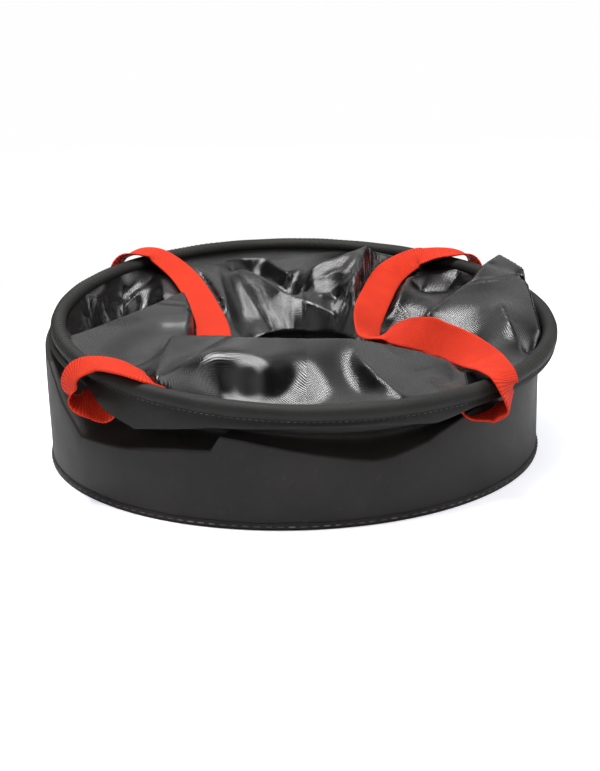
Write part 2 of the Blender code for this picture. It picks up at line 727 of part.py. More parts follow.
def make_handle(side, pivot_share, shares, cuts, frame, red, thread):
    """One handle: a strap that swings, a loop over the rim at each end, and its sewn ends."""
    route = smooth_route(shares)
    sections = webbing(route)
    back_cut, front_cut = cuts
    pivot = Vector((pivot_share * rim_radius, 0, pivot_height_share * rim_radius))
    swing = add_frame(side + "_handle_frame", Matrix.Translation(pivot), frame)
    strap = cut_webbing(sections, back_cut, front_cut)
    add_piece(side + "_handle_strap", moved(strap, Matrix.Translation(-pivot)), red, swing)
    ends = (
        ("back", cut_webbing(sections, 0, back_cut), route[0]),
        ("front", cut_webbing(sections, front_cut, len(shares) - 1), route[-1]),
    )
    for end, loop, last in ends:
        add_piece(f"{side}_{end}_strap_loop", loop, red, frame)
        tab, box = strap_tab(*last)
        add_piece(f"{side}_{end}_strap_end", tab, red, frame)
        add_piece(f"{side}_{end}_strap_stitching", box, thread, frame)


def main():
    clear_scene()
    black = finish("coated_fabric", (0.030, 0.028, 0.026), 0.45)
    inner_black = finish("folded_fabric", (0.012, 0.012, 0.013), 0.25)
    sleeve_black = finish("sleeve_fabric", (0.034, 0.032, 0.030), 0.5)
    thread = finish("black_thread", (0.02, 0.02, 0.02), 0.7)
    board = finish("grey_board", (0.25, 0.25, 0.24), 0.6)
    rod = finish("hoop_plastic", (0.10, 0.10, 0.10), 0.5)
    metal = finish("ferrule_metal", (0.60, 0.60, 0.60), 0.35, 1.0)
    red = finish("orange_webbing", (0.80, 0.07, 0.02), 0.65)

    make_base(black, thread, board)
    make_lower_wall(black)
    make_seam_tape(black)
    make_folded_wall(inner_black)
    frame = add_frame("rim_frame", rim_frame)
    make_rim(frame, sleeve_black, black, rod, metal, thread)
    make_handle("left", left_pivot_share, left_route_shares, left_cut_places, frame, red, thread)
    make_handle("right", right_pivot_share, right_route_shares, right_cut_places, frame, red, thread)
    bpy.context.view_layer.update()


main()
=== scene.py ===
import math

import bpy
import numpy as np
from mathutils import Matrix, Vector, noise


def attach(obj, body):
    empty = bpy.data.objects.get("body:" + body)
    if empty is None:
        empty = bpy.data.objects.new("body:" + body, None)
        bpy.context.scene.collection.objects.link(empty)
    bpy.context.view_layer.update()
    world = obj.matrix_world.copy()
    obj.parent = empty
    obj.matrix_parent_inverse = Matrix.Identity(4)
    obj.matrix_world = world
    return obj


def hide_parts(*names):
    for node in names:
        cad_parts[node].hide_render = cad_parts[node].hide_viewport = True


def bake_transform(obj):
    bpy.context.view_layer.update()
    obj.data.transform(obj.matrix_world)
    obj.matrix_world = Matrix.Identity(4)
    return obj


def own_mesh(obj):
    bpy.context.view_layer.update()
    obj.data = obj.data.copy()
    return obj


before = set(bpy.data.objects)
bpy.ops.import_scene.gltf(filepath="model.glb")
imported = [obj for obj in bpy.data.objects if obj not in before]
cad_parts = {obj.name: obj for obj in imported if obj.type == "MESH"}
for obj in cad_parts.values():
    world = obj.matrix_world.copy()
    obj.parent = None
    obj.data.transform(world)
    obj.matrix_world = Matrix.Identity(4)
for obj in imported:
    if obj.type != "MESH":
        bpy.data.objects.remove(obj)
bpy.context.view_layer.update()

mm = 0.001
whole_turn = 2 * math.pi

# The bottom panel. A disc of the black coated fabric that the bucket stands on, welded round
# its edge to the wall, with the fabric's fine weave under a matt coating.
wall_radius = 172.4 * mm
fabric = 0.8 * mm
gap = 0.3 * mm
panel_radius = wall_radius + gap + fabric
plate_hole = 0.4 * mm
plate_steps = 240


class Shade:
    """A socket of a node tree, on which sums and products add Math nodes."""

    def __init__(self, tree, source=None):
        self.tree, self.source = tree, source

    def node(self, kind, settings, values, output=0):
        """A new node: its settings first, then the values or links of its sockets."""
        made = self.tree.nodes.new(kind)
        for name, setting in settings.items():
            setattr(made, name, setting)
        for name, value in values.items():
            if isinstance(value, Shade):
                self.tree.links.new(value.source, made.inputs[name])
            else:
                made.inputs[name].default_value = value
        return Shade(self.tree, made.outputs[output])

    def math(self, operation, *values):
        return self.node("ShaderNodeMath", {"operation": operation}, dict(enumerate(values)))

    def __add__(self, other):
        return self.math("ADD", self, other)

    def __mul__(self, other):
        return self.math("MULTIPLY", self, other)

    __radd__ = __add__
    __rmul__ = __mul__

    def place(self, kind="Object"):
        """Where the surface is, on the piece or on its cloth."""
        return self.node("ShaderNodeTexCoord", {}, {}, kind)

    def ray(self, kind):
        """1 for light of one kind and 0 for the rest."""
        return self.node("ShaderNodeLightPath", {}, {}, kind)

    def stretched(self, scale):
        """A place with its three ways scaled apart."""
        return self.node("ShaderNodeMapping", {}, {"Vector": self, "Scale": scale})

    def across_and_along(self):
        """The first two ways of a place, each as a value."""
        return [self.node("ShaderNodeSeparateXYZ", {}, {"Vector": self}, way) for way in (0, 1)]

    def wave(self, pitch):
        """A value from -1 to 1 that comes back at each pitch."""
        return self.math("SINE", self * (whole_turn / pitch))

    def noise(self, scale, detail=2.0, rough=0.5):
        """Noise at this place."""
        return self.node("ShaderNodeTexNoise", {}, {
            "Vector": self, "Scale": scale, "Detail": detail, "Roughness": rough})

    def step(self, low, high):
        """0 below low and 1 above high, smooth between them."""
        return self.node("ShaderNodeMapRange", {"interpolation_type": "SMOOTHSTEP"}, {
            "Value": self, "From Min": low, "From Max": high, "To Min": 0.0, "To Max": 1.0})

    def between(self, first, second):
        """A colour that goes from the first to the second as this value rises."""
        return self.node("ShaderNodeMix", {"data_type": "RGBA"}, {0: self, 6: first, 7: second}, 2)

    def bump(self, strength, distance, under=None):
        """The surface raised by this value, on top of another bump where there is one."""
        values = {"Height": self, "Strength": strength, "Distance": distance}
        if under is not None:
            values["Normal"] = under
        return self.node("ShaderNodeBump", {}, values)


def new_finish(name, **constants):
    """A new material, its shader and the start of its node maths."""
    material = bpy.data.materials.new(name)
    material.use_nodes = True
    shader = material.node_tree.nodes["Principled BSDF"]
    for key, value in constants.items():
        shader.inputs[key.replace("_", " ")].default_value = value
    return material, shader, Shade(material.node_tree)


def drive(shader, **sockets):
    """Link worked-out values to a shader's sockets."""
    for key, value in sockets.items():
        value.tree.links.new(value.source, shader.inputs[key.replace("_", " ")])


def coated_fabric(name, color, roughness, weave_pitch, weave_depth, **constants):
    """Coated cloth: a fine weave under the coating, slow changes of tone, dust and rubbed spots."""
    cloud_scale, speck_scale, gloss_scale, slack_scale = 14.0, 260.0, 45.0, 30.0
    dark_share, light_share, dust_added = 0.82, 1.22, 0.016
    wear, rubbed_roughness, roughness_swing = 0.3, 0.1, 0.14
    slack_strength, slack_depth = 0.35, 0.6 * mm
    material, shader, start = new_finish(name, **constants)
    warp, weft = start.place("UV").across_and_along()
    body = start.place()
    ribs = warp.wave(weave_pitch) * weft.wave(weave_pitch)
    tone = body.noise(cloud_scale, 4.0, 0.6).step(0.35, 0.7)
    speck = body.noise(speck_scale, 2.0, 0.6).step(0.62, 0.74)
    dark = tuple(c * dark_share for c in color) + (1.0,)
    light = tuple(c * light_share for c in color) + (1.0,)
    dust = tuple(c * light_share + dust_added for c in color) + (1.0,)
    shade = (speck * wear).between(tone.between(dark, light), dust)
    gloss = body.noise(gloss_scale, 3.0, 0.6) * roughness_swing
    rough = gloss + (roughness - roughness_swing / 2) + speck * (rubbed_roughness * wear)
    slack = body.noise(slack_scale, 3.0, 0.55).bump(slack_strength, slack_depth)
    drive(shader, Base_Color=shade, Roughness=rough, Normal=ribs.bump(1.0, weave_depth, slack))
    return material


def cloth(name, points, uv, finish, along=False, flip=False, sharp=None):
    """A piece made of rows of points. Each row is closed, and so are the columns where asked."""
    rows, columns = points.shape[:2]
    spots = np.arange(rows * columns).reshape(rows, columns)
    if along:
        spots = np.vstack([spots, spots[:1]])
    spots = np.hstack([spots, spots[:, :1]])

    def corners(grid):
        found = np.stack([grid[:-1, :-1], grid[1:, :-1], grid[1:, 1:], grid[:-1, 1:]], 2)
        return found[:, :, ::-1] if flip else found

    mesh = bpy.data.meshes.new(name)
    mesh.from_pydata(points.reshape(-1, 3), [], corners(spots).reshape(-1, 4).tolist())
    if uv.ndim == 3:
        uv = corners(uv)
    elif flip:
        uv = uv[:, :, ::-1]
    layer = mesh.uv_layers.new(name="cloth")
    layer.uv.foreach_set("vector", np.ascontiguousarray(uv, dtype=np.float32).ravel())
    mesh.shade_smooth()
    if sharp:
        mesh.set_sharp_from_angle(angle=math.radians(sharp))
    mesh.materials.append(finish)
    piece = bpy.data.objects.new(name, mesh)
    bpy.context.collection.objects.link(piece)
    return piece


def run_lengths(points, axis):
    """How far each point of a grid lies along its own row or column."""
    steps = np.linalg.norm(np.diff(points, axis=axis), axis=2)
    pad = [(0, 0), (0, 0)]
    pad[axis] = (1, 0)
    return np.cumsum(np.pad(steps, pad), axis=axis)


def unrolled(points, spread, along=False):
    """The cloth's flat places at a piece's points: how far round it, and how far down it."""
    closed = np.concatenate([points, points[:, :1]], 1)
    if along:
        closed = np.concatenate([closed, closed[:1]], 0)
    down = run_lengths(closed, 0)
    return np.stack([spread + 0 * down, down], 2)


def turn_angles(count):
    """Angles at even steps all the way round."""
    return np.linspace(0, whole_turn, count, endpoint=False)


def around_axis(radius, angles, height):
    """Points at a radius, an angle and a height, where each is one value or many."""
    return np.stack(np.broadcast_arrays(
        radius * np.cos(angles), radius * np.sin(angles), height), -1)


def turned(name, profile, steps, finish, ripple=None):
    """A piece turned about the bucket's axis from a closed outline of radius and height."""
    angles = turn_angles(steps)
    outline = np.array(profile)
    radius, height = outline[:, :1] * np.ones(steps), outline[:, 1:] * np.ones(steps)
    if ripple:
        radius, height = ripple(radius, height, angles)
    points = around_axis(radius, angles, height)
    spread = np.append(angles, whole_turn) * np.append(outline[:, 0], outline[0, 0])[:, None]
    return cloth(name, points, unrolled(points, spread, True), finish, along=True, sharp=45)


outside = coated_fabric("matt_coated_fabric", (0.0165, 0.0145, 0.0135), 0.56, 0.9 * mm, 0.03 * mm,
                        Specular_IOR_Level=0.26)


def disc_outline(radius, low, thick, turn_up=0.0):
    """Outline of a round cloth plate, with its edge turned up by a height where asked."""
    top = low + thick
    if turn_up:
        bend, bend_in, bend_up, bend_top = 2 * mm, 0.4 * mm, 0.3 * mm, 1.2 * mm
        inner_bend, inner_bend_top = 0.8 * mm, 1.6 * mm
        edge = [(radius - bend, low), (radius - bend_in, low + bend_up), (radius, low + bend_top),
                (radius, low + turn_up), (radius - thick, low + turn_up),
                (radius - thick, low + inner_bend_top), (radius - thick - inner_bend, top)]
    else:
        round_edge, round_in, round_up = 0.5 * mm, 0.1 * mm, 0.15 * mm
        edge = [(radius - round_edge, low), (radius - round_in, low + round_up),
                (radius, low + thick / 2), (radius - round_in, top - round_up),
                (radius - round_edge, top)]
    under, over = [(plate_hole, low), (radius / 2, low)], [(radius / 2, top), (plate_hole, top)]
    return under + edge + over


bottom = turned("bottom_cloth", disc_outline(panel_radius, 0.0, fabric), plate_steps, outside)
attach(bottom, "base")
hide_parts("base_panel")

# The hem above the panel's edge. A narrow welded strip of the same fabric round the wall's foot,
# with a soft upper edge that is slightly uneven, as a hand-fed welder leaves it.
hem_height = 4.2 * mm
hem_foot = fabric + gap
hem_steps = 480
hem_bulge, hem_shoulder, hem_crown = 0.02 * mm, 0.25 * mm, 0.65 * mm
hem_bend = 1.2 * mm
hem_inner_drop = 0.1 * mm
hem_unevenness = 0.16 * mm


def uneven_edge(radius, height, angles):
    lift = hem_unevenness * (np.sin(angles * 23) + 0.6 * np.sin(angles * 61 + 1.3))
    return radius, height + lift * ((height - hem_foot) / (hem_height - hem_foot))


hem_outline = [
    (panel_radius, hem_foot), (panel_radius + hem_bulge, hem_foot + hem_bend),
    (panel_radius - hem_shoulder, hem_height - hem_bend), (panel_radius - hem_crown, hem_height),
    (wall_radius + gap, hem_height - hem_inner_drop), (wall_radius + gap, hem_foot),
]
hem = turned("hem_cloth", hem_outline, hem_steps, outside, uneven_edge)
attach(hem, "base")
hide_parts("base_hem")

# The bottom seam's thread. One row of straight stitches in waxed black thread runs round the
# hem just above the floor, and catches the light as a dotted line.
stitch_pitch, stitch_length, seam_thread = 6.7 * mm, 4.4 * mm, 0.35 * mm
seam_height, seam_out = 2.4 * mm, 0.1 * mm
line_steps = 720

thread, shader, start = new_finish("waxed_thread", Specular_IOR_Level=0.5)
twist = start.place().noise(2600.0, 1.0)
fuzz = start.place().noise(90.0, 2.0).step(0.4, 0.7)
drive(shader, Base_Color=fuzz.between((0.045, 0.04, 0.036, 1), (0.16, 0.14, 0.12, 1)),
      Roughness=twist * 0.2 + 0.5, Normal=twist.bump(0.6, 0.1 * mm))


def stitch_tree():
    """Stitches of one length laid at one pitch along a line, as a Geometry Nodes tree."""
    tree = bpy.data.node_groups.new("stitch_row", "GeometryNodeTree")
    start, given = Shade(tree), {}
    for label, kind in (("Geometry", "Geometry"), ("Pitch", "Float"), ("Length", "Float"),
                        ("Thread Radius", "Float"), ("Thread", "Material")):
        tree.interface.new_socket(label, in_out="INPUT", socket_type="NodeSocket" + kind)
        given[label] = start.node("NodeGroupInput", {}, {}, label)
    tree.interface.new_socket("Geometry", in_out="OUTPUT", socket_type="NodeSocketGeometry")
    line = start.node("GeometryNodeMeshToCurve", {}, {"Mesh": given["Geometry"]})
    spots = start.node("GeometryNodeCurveToPoints", {"mode": "LENGTH"}, {
        "Curve": line, "Length": given["Pitch"]})
    way = Shade(tree, spots.source.node.outputs["Rotation"])
    bead = start.node("GeometryNodeMeshUVSphere", {}, {"Segments": 6, "Rings": 5, "Radius": 1.0})
    size = start.node("ShaderNodeCombineXYZ", {}, {
        "X": given["Thread Radius"], "Y": given["Thread Radius"], "Z": given["Length"] * 0.5})
    laid = start.node("GeometryNodeInstanceOnPoints", {}, {
        "Points": spots, "Instance": bead, "Rotation": way, "Scale": size})
    real = start.node("GeometryNodeRealizeInstances", {}, {"Geometry": laid})
    smooth = start.node("GeometryNodeSetShadeSmooth", {}, {"Geometry": real})
    painted = start.node("GeometryNodeSetMaterial", {}, {
        "Geometry": smooth, "Material": given["Thread"]})
    done = tree.nodes.new("NodeGroupOutput")
    tree.links.new(painted.source, done.inputs["Geometry"])
    return tree


stitches = stitch_tree()


def stitch_row(name, points, pitch, length, radius):
    """A row of stitches along a closed line of points, made into a plain mesh."""
    points = [tuple(p) for p in points]
    edges = [(i, i + 1) for i in range(len(points) - 1)] + [(len(points) - 1, 0)]
    mesh = bpy.data.meshes.new(name)
    mesh.from_pydata(points, edges, [])
    piece = bpy.data.objects.new(name, mesh)
    bpy.context.collection.objects.link(piece)
    row = piece.modifiers.new("stitches", "NODES")
    row.node_group = stitches
    keys = {item.name: item.identifier for item in stitches.interface.items_tree
            if item.in_out == "INPUT"}
    row[keys["Pitch"]] = pitch
    row[keys["Length"]] = length
    row[keys["Thread Radius"]] = radius
    row[keys["Thread"]] = thread
    made = bpy.data.meshes.new_from_object(
        piece.evaluated_get(bpy.context.evaluated_depsgraph_get()))
    made.name = name
    piece.modifiers.remove(row)
    piece.data = made
    return piece


line_turns = turn_angles(line_steps)
seam_line = around_axis(panel_radius + seam_out, line_turns, seam_height)
seam = stitch_row("seam_stitches", seam_line, stitch_pitch, stitch_length, seam_thread)
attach(seam, "base")
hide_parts("base_seam_thread")

# The board and the inner floor. A grey fibre board keeps the base round and flat. It lies
# between the bottom panel and a loose inner floor of the same coated fabric, its edge turned up.
board_thickness = 2 * mm
liner_foot = fabric + gap + board_thickness + gap
liner_radius = wall_radius - fabric - gap
liner_turn_up = 7.5 * mm
liner_slack, liner_taut_edge = 0.5 * mm, 4 * mm

board, shader, start = new_finish("grey_fibre_board", Specular_IOR_Level=0.3)
fibre = start.place().stretched((900.0, 220.0, 900.0)).noise(1.0, 3.0)
drive(shader, Base_Color=fibre.between((0.17, 0.17, 0.165, 1), (0.33, 0.33, 0.32, 1)),
      Roughness=fibre * 0.2 + 0.65, Normal=fibre.bump(0.4, 0.1 * mm))
board_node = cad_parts["base_board"]
board_node.data.materials.clear()
board_node.data.materials.append(board)

inside = coated_fabric("inner_coated_fabric", (0.017, 0.0165, 0.0165), 0.4, 1.6 * mm, 0.05 * mm,
                       Specular_IOR_Level=0.45)


def slack_floor(radius, height, angles):
    slack = liner_slack * (1 + np.sin(angles * 3 + radius * 60) * np.sin(angles * 2 + 0.7))
    top = (height > liner_foot + fabric / 2) & (radius < liner_radius - liner_taut_edge)
    return radius, height + slack * top


liner_outline = disc_outline(liner_radius, liner_foot, fabric, liner_turn_up)
liner = turned("inner_floor_cloth", liner_outline, plate_steps, inside, slack_floor)
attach(liner, "base")
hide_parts("base_liner")

# The rim's own frame. The hoop lies tilted toward the viewer on the folded cloth, so all that
# it carries is placed square to it: the radius, the turn about its middle, the height above it.
rim_radius = 170 * mm
rim_place = (8.6 * mm, -1.1 * mm, 91.4 * mm)
rim_tilt, rim_lean = math.radians(7.62), math.radians(1.73)
rim_frame = (
    Matrix.Translation(rim_place)
    @ Matrix.Rotation(rim_tilt, 4, "X")
    @ Matrix.Rotation(rim_lean, 4, "Y")
)
rim_turn = np.array(rim_frame.to_3x3())
rim_middle = np.array(rim_frame.translation)
rim_up = rim_turn[:, 2]


def from_rim(points):
    """Points of the rim's frame, seen in the bucket's frame."""
    return np.asarray(points) @ rim_turn.T + rim_middle


def rim_plane_height(radius, angles):
    """Height of the rim's plane over points round the floor."""
    x, y = radius * np.cos(angles), radius * np.sin(angles)
    slope = rim_up[0] * (x - rim_middle[0]) + rim_up[1] * (y - rim_middle[1])
    return rim_middle[2] - slope / rim_up[2]


def rim_ring(radius, angles, drop):
    """Points on a ring of the rim's frame, a drop below the rim's plane."""
    return from_rim(around_axis(radius, angles, -drop))


# The wall that stays upright. One sheet of coated fabric stands on the base, folds sharply
# inward under the rim, most at the front, and runs up behind the skirt to the rim's tuck.
# A row: the turn in degrees, then how far its fold lies below the rim's plane, in millimetres.
wall_fold_line = (
    (-180, 13), (-158, 13.5), (-153, 22), (-149, 30.7), (-144, 36.7), (-140, 43.1), (-131, 38.7),
    (-124, 35.3), (-114, 28.7), (-106, 25.1), (-104, 15.4), (-99, 16.6), (-94, 19.1),
    (-84, 24.5), (-75, 29.7), (-71, 29.0), (-63, 23.8), (-60, 19.9), (-53, 12.8), (-45, 10.4),
    (-35, 13.2), (-24, 19.2), (-14, 14), (0, 12.5), (180, 13),
)
wall_foot = fabric + gap
wall_steps, wall_rows = 900, 34
wall_top_lean = 0.9 * mm
wall_sways = ((0.5 * mm, 5, 0.6), (0.35 * mm, 11, 2.1))
wall_dent, wall_dent_turn, wall_dent_spread = 1.6 * mm, -18, 7
tuck_radius = 166 * mm
tuck_low = 14 * mm
tuck_sag = 15 * mm
tuck_shares = (0.03, 0.08, 0.16, 0.28, 0.42, 0.58, 0.76, 1.0)
shallow_fold, deep_fold, least_sag_share = 12, 30, 0.15


def signed_degrees(angles):
    """Angles in degrees, from -180 to 180."""
    return (np.degrees(angles) + 180) % 360 - 180


def around(table, angles):
    """Values of a table of degrees and values at each angle, straight between its rows."""
    return np.interp(signed_degrees(angles), [row[0] for row in table], [row[1] for row in table])


def bell(value, middle, spread):
    """1 at the middle, falling off smoothly to both sides."""
    return np.exp(-((value - middle) / spread) ** 2)


def belly(share):
    """How much of its free swing the wall has at a share of its height."""
    return math.sin(math.pi * share) * share


def upright_wall():
    angles = turn_angles(wall_steps)
    fold_depth = around(wall_fold_line, angles)
    top = rim_plane_height(wall_radius, angles) - fold_depth * mm
    sway = sum(depth * np.sin(angles * count + shift) for depth, count, shift in wall_sways)
    dent = wall_dent * bell(signed_degrees(angles), wall_dent_turn, wall_dent_spread)
    rows = []
    for share in np.linspace(0, 1, wall_rows):
        radius = wall_radius + belly(share) * (sway - dent) - wall_top_lean * share ** 6
        rows.append(around_axis(radius, angles, wall_foot + (top - wall_foot) * share))
    edge = rows[-1]
    tuck = rim_ring(tuck_radius, angles, tuck_low)
    inward = -around_axis(1, angles, 0)
    depth = np.clip((fold_depth - shallow_fold) / (deep_fold - shallow_fold), least_sag_share, 1)
    for share in tuck_shares:
        sag = tuck_sag * math.sin(math.pi * share) * depth[:, None]
        rows.append(edge + (tuck - edge) * share + inward * sag)
    points = np.array(rows)
    uv = unrolled(points, np.append(angles, whole_turn) * wall_radius)
    return cloth("upright_wall_cloth", points, uv, outside, flip=True)


wall = upright_wall()
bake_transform(wall)
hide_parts("lower_wall")

# The tuck behind the skirt. The top of the same sheet runs up behind the skirt to the rim, where
# the sleeve begins.
tuck_high = 3.6 * mm
tuck_reach = np.array((0.1, 1.5, 2.6, 2.8, 1.6)) * mm
tuck_steps = 360


def tuck_band():
    angles = turn_angles(tuck_steps)
    drops = np.linspace(tuck_low, tuck_high, len(tuck_reach))
    points = np.array([rim_ring(tuck_radius + reach, angles, drop)
                       for reach, drop in zip(tuck_reach, drops)])
    spread = np.append(angles, whole_turn) * tuck_radius
    return cloth("tuck_band_cloth", points, np.stack(np.meshgrid(spread, drops), 2), outside,
                 flip=True)


tuck = tuck_band()
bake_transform(tuck)

# The strip over the wall's upright seam. A narrow welded tape of the fabric at the back, where
# the wall's two ends overlap, from the hem up to the fold.
tape_width = 22 * mm
tape_rows, tape_columns = 28, 13
tape_top_drop = 14.5 * mm
tape_lift, tape_round, tape_round_share = 0.5 * mm, 0.35 * mm, 0.12
tape_length = 100 * mm


def seam_tape():
    across = np.linspace(-tape_width / 2, tape_width / 2, tape_columns)
    angles = math.pi / 2 + across / wall_radius
    from_edge = 1 - np.abs(across) / (tape_width / 2)
    round_off = np.clip(from_edge, 0, tape_round_share) / tape_round_share * tape_round
    foot = hem_height + gap
    top = rim_plane_height(wall_radius, angles) - tape_top_drop
    rows = []
    for share in np.linspace(0, 1, tape_rows):
        swing = wall_top_lean * belly(share) - wall_top_lean * share ** 6
        radius = wall_radius + gap + tape_lift + round_off + swing
        rows.append(around_axis(radius, angles, foot + (top - foot) * share))
    outer = np.array(rows)
    inner = outer - around_axis(1, angles, 0) * fabric
    loop = np.concatenate([outer, inner[:, ::-1]], 1)
    uv = np.stack(np.meshgrid(np.linspace(0, 2 * tape_width, loop.shape[1] + 1),
                              np.linspace(0, tape_length, loop.shape[0])), 2)
    return cloth("seam_tape_cloth", loop, uv, outside, flip=True, sharp=50)


tape = seam_tape()
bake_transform(tape)
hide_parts("wall_seam_tape")

# The hoop and its ferrule. A bent plastic rod makes the rim stiff. Its ends meet in a short
# crimped metal sleeve at the back. Both are hidden in the cloth sleeve.
hoop_finish, shader, start = new_finish("hoop_plastic", Specular_IOR_Level=0.5)
scuff = start.place().noise(120.0, 4.0, 0.6)
drive(shader, Base_Color=scuff.step(0.4, 0.7).between((0.07, 0.07, 0.07, 1), (0.13, 0.13, 0.13, 1)),
      Roughness=scuff * 0.25 + 0.35, Normal=scuff.bump(0.2, 0.1 * mm))
metal, shader, start = new_finish("ferrule_metal", Metallic=1.0)
brushed = start.place().stretched((60.0, 900.0, 900.0)).noise(1.0, 3.0)
drive(shader, Base_Color=brushed.between((0.45, 0.45, 0.45, 1), (0.68, 0.68, 0.67, 1)),
      Roughness=brushed * 0.25 + 0.22, Normal=brushed.bump(0.3, 0.05 * mm))
for node_name, finish in (("rim_hoop", hoop_finish), ("hoop_ferrule", metal)):
    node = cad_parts[node_name]
    node.data.materials.clear()
    node.data.materials.append(finish)

# The rim's sleeve and skirt. The sheet wraps the hoop, is sewn to itself in a groove below it,
# and hangs on as a short skirt, pulled down to corners where the handles leave at the front.
sleeve_radius = 5.1 * mm
sleeve_bends = np.radians(np.concatenate([np.linspace(230, -28, 19), [-36, -42]]))
groove_bend, groove_depth = math.radians(-30), 0.45 * mm
ripple_pitch, ripple_depth, ripple_middle = 4.2 * mm, 0.22 * mm, math.radians(150)
crushes = ((0.25 * mm, 13, 0.5), (0.18 * mm, 31, 0))
cover_steps = 1400
# The skirt's lower edge: the turn in degrees, then its drop below the rim's plane as a share of
# the rim's radius.
skirt_drop_shares = (
    (-180, 0.041), (-160, 0.039), (-141, 0.040), (-133, 0.052), (-124.5, 0.130), (-108, 0.062),
    (-90, 0.036), (-76, 0.039), (-65, 0.064), (-56, 0.040), (-30, 0.039), (90, 0.039),
    (180, 0.041),
)
# A row of the skirt: the share of its height from the groove down, then how far out it stands, in
# millimetres, first down its outer side and then up its inner side.
skirt_rows = ((0.0, 0.1), (0.3, 0.5), (0.65, 0.5), (0.92, 0.25), (1.0, 0.0),
              (0.93, -0.8), (0.5, -1.2), (0.0, -1.6))
skirt_top_bend, skirt_top_reach = math.radians(-48), sleeve_radius + 0.5 * mm
skirt_out, skirt_out_swing = 5.5 * mm, 1.5 * mm
corner_turn, corner_spread, corner_flare = -131, 5, 7 * mm
sleeve_cloth = coated_fabric("sleeve_coated_fabric", (0.0155, 0.015, 0.014), 0.6, 0.9 * mm,
                             0.04 * mm, Specular_IOR_Level=0.24)


def rim_cover():
    angles = turn_angles(cover_steps)
    drop = around(skirt_drop_shares, angles) * rim_radius
    drawn = 0.25 + 0.75 * np.clip(np.cos(angles - ripple_middle) * 1.4, 0, 1)
    patches = 0.5 + 0.5 * np.sin(angles * 9 + 1)
    ripple = np.sin(angles * rim_radius / ripple_pitch * whole_turn + 2 * np.sin(angles * 17))
    ripple = ripple * patches * ripple_depth * drawn
    crush = sum(depth * np.sin(angles * count + shift) for depth, count, shift in crushes)
    points = []
    for bend in sleeve_bends:
        swell = sleeve_radius + ripple * (0.4 + 0.6 * math.sin(max(bend, 0))) + crush * 0.4
        if bend < groove_bend:
            swell = swell - groove_depth
        points.append((rim_radius + swell * math.cos(bend), swell * math.sin(bend)))
    top_radius = rim_radius + skirt_top_reach * math.cos(skirt_top_bend)
    top_height = skirt_top_reach * math.sin(skirt_top_bend)
    flare = corner_flare * bell(signed_degrees(angles), corner_turn, corner_spread)
    low_radius = rim_radius + skirt_out - skirt_out_swing * np.cos(angles) + flare
    for share, out in skirt_rows:
        points.append((top_radius + (low_radius - top_radius) * share + out * mm,
                       top_height + (-drop - top_height) * share))
    grid = from_rim([around_axis(radius, angles, height) for radius, height in points])
    uv = unrolled(grid, np.append(angles, whole_turn) * rim_radius, True)
    return cloth("rim_cover_cloth", grid, uv, sleeve_cloth, along=True)


cover = rim_cover()
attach(cover, "rim")
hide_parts("rim_sleeve", "rim_skirt")

hem_line_bend, hem_line_reach = math.radians(45), 5.35 * mm
hem_stitch_pitch, hem_stitch_length, hem_thread = 3.6 * mm, 2.4 * mm, 0.16 * mm
hem_line = rim_ring(rim_radius + hem_line_reach * math.cos(hem_line_bend), line_turns,
                    hem_line_reach * math.sin(hem_line_bend))
rim_stitches = stitch_row("rim_stitches", hem_line, hem_stitch_pitch, hem_stitch_length, hem_thread)
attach(rim_stitches, "rim")
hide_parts("rim_hem_thread")

# The handles. Each is one strap of orange-red polyester webbing, 25 mm wide, woven with ribs
# across. Its ends are sewn under the rim; it loops out over the rim and lies on the folds.
# A row: a point in shares of the rim's radius, then the way the strap's width lies.
webbing_width = 25 * mm
webbing_thickness = 1.6 * mm
left_route_shares = (
    ((-0.785, 0.634, -0.046), (-0.63, -0.78, 0.00)),
    ((-0.800, 0.644, -0.078), (-0.62, -0.78, 0.00)),
    ((-0.838, 0.634, -0.090), (-0.59, -0.81, 0.00)),
    ((-0.864, 0.616, -0.050), (-0.55, -0.83, 0.00)),
    ((-0.864, 0.616, 0.000), (-0.50, -0.86, 0.00)),
    ((-0.834, 0.640, 0.030), (-0.42, -0.91, 0.00)),
    ((-0.778, 0.670, 0.043), (-0.38, -0.92, 0.00)),
    ((-0.715, 0.686, 0.040), (-0.44, -0.90, 0.00)),
    ((-0.655, 0.662, 0.016), (-0.55, -0.83, -0.05)),
    ((-0.565, 0.580, -0.030), (-0.62, -0.77, -0.05)),
    ((-0.490, 0.440, -0.070), (-0.68, -0.72, 0.05)),
    ((-0.415, 0.220, -0.105), (-0.78, -0.60, 0.14)),
    ((-0.380, 0.020, -0.115), (-0.92, -0.37, 0.14)),
    ((-0.375, -0.250, -0.120), (-0.98, 0.10, 0.00)),
    ((-0.390, -0.500, -0.100), (-0.85, 0.50, 0.00)),
    ((-0.450, -0.690, -0.050), (-0.50, 0.86, -0.06)),
    ((-0.545, -0.762, 0.014), (-0.20, 0.95, -0.18)),
    ((-0.630, -0.752, 0.044), (-0.15, 0.97, -0.18)),
    ((-0.710, -0.715, 0.048), (-0.16, 0.98, -0.06)),
    ((-0.781, -0.706, 0.036), (-0.32, 0.94, 0.00)),
    ((-0.824, -0.708, 0.008), (-0.52, 0.85, 0.00)),
    ((-0.838, -0.718, -0.034), (-0.60, 0.80, 0.00)),
    ((-0.832, -0.728, -0.068), (-0.50, 0.84, 0.20)),
    ((-0.802, -0.732, -0.090), (-0.30, 0.88, 0.36)),
    ((-0.755, -0.722, -0.100), (-0.16, 0.90, 0.40)),
    ((-0.714, -0.726, -0.104), (-0.20, 0.90, 0.36)),
    ((-0.696, -0.737, -0.088), (-0.45, 0.88, 0.12)),
    ((-0.690, -0.742, -0.064), (-0.68, 0.73, 0.00)),
    ((-0.690, -0.742, -0.046), (-0.73, 0.68, 0.00)),
)
